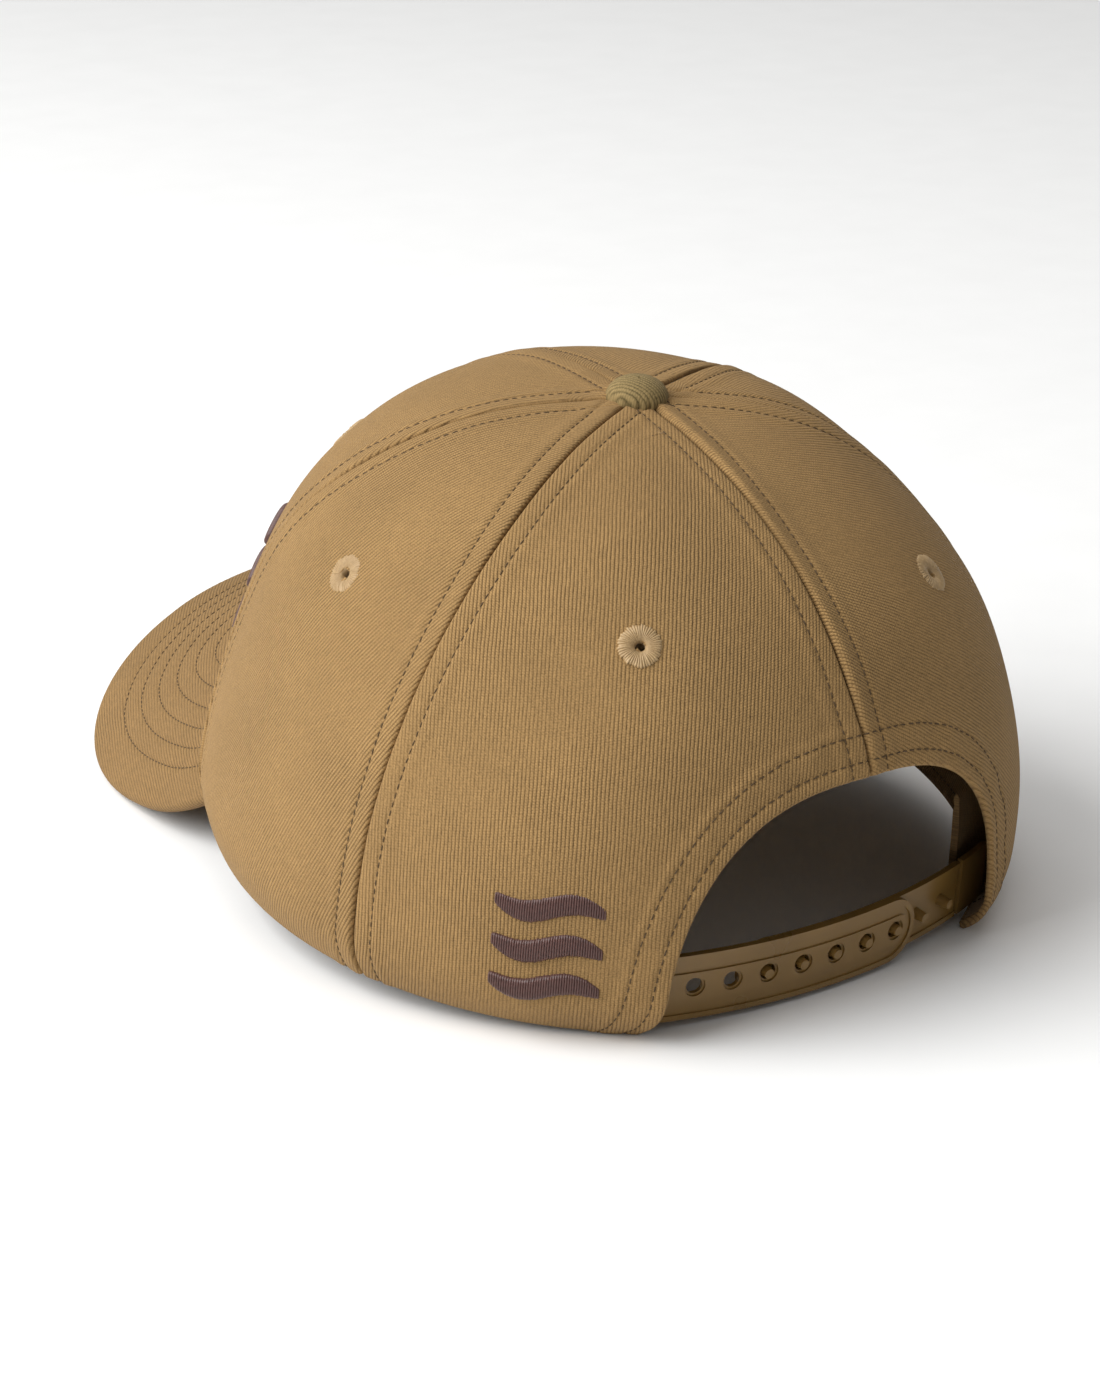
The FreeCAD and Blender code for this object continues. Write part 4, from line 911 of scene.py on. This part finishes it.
pleat = PLEAT_DEPTH * np.sin(PLEATS * turn + 1.5 * np.sin(3 * turn)) * np.clip(arc - 0.55, 0, 1) ** 1.5 * 2
radius = radius + pleat
x, y = radius * np.sin(turn), radius * np.cos(turn)
across = x * math.cos(BUTTON_GRAIN) + y * math.sin(BUTTON_GRAIN)
cords = np.abs(np.sin(math.pi * across / RIB)) ** 0.8
top = np.stack([x, y, crest + BUTTON_CORD * cords], -1)
under = top - np.stack([x * 0.1, y * 0.1, BUTTON_CLOTH + 0 * x], -1)
cut = np.stack([across, y * math.cos(BUTTON_GRAIN) - x * math.sin(BUTTON_GRAIN)], -1)
cover = layer("button_cover_twill", top, under, olive_twill, cut, ring=True)
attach(cover, "crown")
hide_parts("button_cover")

tin, tree = finish("tinned_steel_pressing")
place = add(tree, "TexCoord", {}).node.outputs["Object"]
scratches = add(tree, "TexNoise", {"Vector": place, "Scale": 900.0})
blend = add(tree, "Mix", {0: scratches, 6: shade("#8f8b84"), 7: shade("#c3bfb7")}, data_type="RGBA")
tone = blend.node.outputs[2]
surface = add(tree, "BsdfPrincipled", {"Base Color": tone, "Metallic": 1.0, "Roughness": 0.35})
add(tree, "OutputMaterial", {"Surface": surface})
for name in ("button_core", "button_backing"):
    node = frame["nodes"][name]
    node.data.materials.clear()
    node.data.materials.append(tin)


# ---------------------------------------------------------------- embroidery
# Three stacked waves in satin stitch, small beside the back opening and large across the front. Strands
# of brown thread lie side by side over a padding, each one running from edge to edge of its wave.
BADGE_ANGLE = math.radians(43.5)
BADGE_HEIGHT = 23.5
BADGE_WIDTH = 25.0
BADGE_TALL = 29.0
SATIN_RISE = 1.0
FRONT_BADGE_WIDTH = 146.0
FRONT_BADGE_TALL = 36.0
FRONT_BADGE_HEIGHT = 51.0
FRONT_SATIN_RISE = 1.8
FRONT_RADIUS = 98.0         # of the crown under the motif
STRAND = 0.55               # a little coarser than the real 0.4, so that each one shows
STRAND_RISE = 0.26
brown_satin = satin_thread("rayon_thread_chestnut", "#2c1917", "#68463f", 0.42)


def wave_bar(lay, width, middle, half, rise, number):
    """One satin-stitched bar: its outer and inner grids, with a ridge for every strand."""
    strands = int(width / STRAND)
    share = np.linspace(0, 1, strands * 4 + 1)
    across = np.linspace(-1, 1, 13)[:, None]
    ridge = np.abs(np.sin(math.pi * share * strands)) ** 0.7
    ends = 0.35 + 0.65 * np.sin(math.pi * share) ** 0.5
    chance = np.random.default_rng(number)
    ragged = 1 + chance.normal(0, 0.02, strands + 1)[(share * strands).astype(int)] - 0.04 * (1 - ridge)
    x = (share - 0.5) * width + 0 * across
    y = middle(share) + half * ends * ragged * across
    place, out = lay(x, y)
    pile = rise * ends * (1 - np.abs(across) ** 2.6) ** 0.55 + STRAND_RISE * ridge * (1 - across ** 6)
    return place + out * pile[..., None], place - out * 0.15


def lay_beside_opening(x, y):
    centre = crown(BADGE_ANGLE, BADGE_HEIGHT)
    beside = crown(BADGE_ANGLE + 0.02, BADGE_HEIGHT) - centre
    beside /= np.linalg.norm(beside)
    up = crown(BADGE_ANGLE, BADGE_HEIGHT + 0.5) - centre
    up -= beside * (up @ beside)
    up /= np.linalg.norm(up)
    place = onto_crown(centre + x[..., None] * beside + y[..., None] * up)
    return place, outward(place)


def lay_across_front(x, y):
    place = crown(math.pi + x / FRONT_RADIUS, FRONT_BADGE_HEIGHT + y)
    return place, outward(place)


# Each motif: how it is laid, its size, its rise, then a bar's half thickness and swing as shares of the
# pitch with its number of crests between them, and the seed of its ragged edges.
BADGES = {
    "back": (lay_beside_opening, BADGE_WIDTH, BADGE_TALL, SATIN_RISE, 0.31, 1, 0.17, 80),
    "front": (lay_across_front, FRONT_BADGE_WIDTH, FRONT_BADGE_TALL, FRONT_SATIN_RISE, 0.33, 4, 0.26, 90),
}
for spot, (lay, width, tall, rise, thick, crests, swing, first) in BADGES.items():
    pitch = tall / 3
    bars = []
    for bar in range(3):
        outer, inner = wave_bar(
            lay, width, lambda s: (bar - 1 + swing * np.sin(2 * math.pi * crests * s)) * pitch,
            pitch * thick, rise, first + bar)
        bars.append(layer(f"waves_{spot}_{bar}", outer, inner, brown_satin, crease=80))
    with bpy.context.temp_override(active_object=bars[0], selected_editable_objects=bars):
        bpy.ops.object.join()
    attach(bars[0], "crown")
    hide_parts("embroidery_" + spot)


# ---------------------------------------------------------------- snap strap
# Two straps of soft injection-moulded polythene. One has seven holes along a raised rib, the other seven
# pegs that press through them. Their sewn ends are gripped between the cloth and the sweatband.
MOULD_EDGE = 0.00010        # radius left on the moulding's edges, in metres
plastic, tree = finish("moulded_polythene_olive_brown")
place = add(tree, "TexCoord", {}).node.outputs["Object"]
cloud = add(tree, "TexNoise", {"Vector": place, "Scale": 60.0, "Detail": 3.0})
blend = add(tree, "Mix", {0: cloud, 6: shade("#6f5428"), 7: shade("#8a6a36")}, data_type="RGBA")
tone = blend.node.outputs[2]
grit = add(tree, "TexNoise", {"Vector": place, "Scale": 2500.0, "Detail": 3.0})
gloss = add(tree, "MapRange", {
    "Value": cloud, "From Min": 0.3, "From Max": 0.7, "To Min": 0.26, "To Max": 0.38})
normal = add(tree, "Bump", {"Height": grit, "Distance": 0.00002, "Strength": 0.5})
surface = add(tree, "BsdfPrincipled", {
    "Base Color": tone, "Roughness": gloss, "IOR": 1.5, "Normal": normal, "Subsurface Weight": 0.15,
    "Subsurface Radius": (1.0, 0.6, 0.3), "Subsurface Scale": 0.001})
add(tree, "OutputMaterial", {"Surface": surface})
for name in ("strap_holes", "strap_pegs", "strap_tab_left", "strap_tab_right"):
    node = frame["nodes"][name]
    node.data.materials.clear()
    node.data.materials.append(plastic)
    if name in ("strap_holes", "strap_pegs"):
        soften = node.modifiers.new("rounded_edges", "BEVEL")
        soften.width = MOULD_EDGE
        soften.segments = 2
        soften.limit_method = "ANGLE"
        soften.angle_limit = math.radians(35)
        soften.use_clamp_overlap = False


# ---------------------------------------------------------------- studio
# A pale seamless floor, one large soft key from the wearer's left and above, and a dim even surround.
VIEW_AZIMUTH = math.radians(145.26)
VIEW_ELEVATION = math.radians(21.77)
VIEW_DISTANCE = 0.8493
VIEW_TARGET = np.array([0.01154, 0.01792, 0.04627])
VIEW_LENS = 92.92
FLOOR_REACH = 3.0
KEY_DISTANCE = 1.4

paper, tree = finish("matt_white_paper")
place = add(tree, "TexCoord", {}).node.outputs["Object"]
fibre = add(tree, "TexNoise", {"Vector": place, "Scale": 40.0})
blend = add(tree, "Mix", {0: fibre, 6: shade("#f1f1f0"), 7: shade("#f6f6f5")}, data_type="RGBA")
tone = blend.node.outputs[2]
surface = add(tree, "BsdfPrincipled", {"Base Color": tone, "Roughness": 0.95})
add(tree, "OutputMaterial", {"Surface": surface})
corners = FLOOR_REACH * np.array([(-1, -1, 0), (1, -1, 0), (1, 1, 0), (-1, 1, 0)])
floor = make("floor", corners, [[0, 1, 2, 3]], paper)

world = bpy.data.worlds.new("studio_surround")
world.use_nodes = True
world.node_tree.nodes["Background"].inputs["Color"].default_value = (1, 1, 1, 1)
world.node_tree.nodes["Background"].inputs["Strength"].default_value = 0.27
bpy.context.scene.world = world

away_from_target = np.array([math.sin(VIEW_AZIMUTH) * math.cos(VIEW_ELEVATION),
                             -math.cos(VIEW_AZIMUTH) * math.cos(VIEW_ELEVATION), math.sin(VIEW_ELEVATION)])


def aim(thing, place, target):
    """Stands a lamp or camera at a place and points it at a target."""
    thing.location = place
    thing.rotation_euler = (Vector(target) - Vector(place)).to_track_quat("-Z", "Y").to_euler()
    bpy.context.scene.collection.objects.link(thing)


def lamp(name, place, size, watts):
    light = bpy.data.lights.new(name, "AREA")
    light.size = size
    light.energy = watts
    aim(bpy.data.objects.new(name, light), place, VIEW_TARGET)


camera_left = np.array([-math.cos(VIEW_AZIMUTH), -math.sin(VIEW_AZIMUTH), 0.0])
towards_key = 0.92 * camera_left + np.array([0, 0, 0.62]) + 0.34 * away_from_target
lamp("key", VIEW_TARGET + KEY_DISTANCE * towards_key, 1.6, 45)
lamp("top", VIEW_TARGET + np.array([0.2, -0.3, 2.0]), 3.0, 22)

view = bpy.data.cameras.new("view")
view.lens = VIEW_LENS
view.sensor_width = 36.0
camera = bpy.data.objects.new("view", view)
aim(camera, VIEW_TARGET + VIEW_DISTANCE * away_from_target, VIEW_TARGET)
bpy.context.scene.camera = camera
bpy.context.scene.view_settings.view_transform = "Standard"
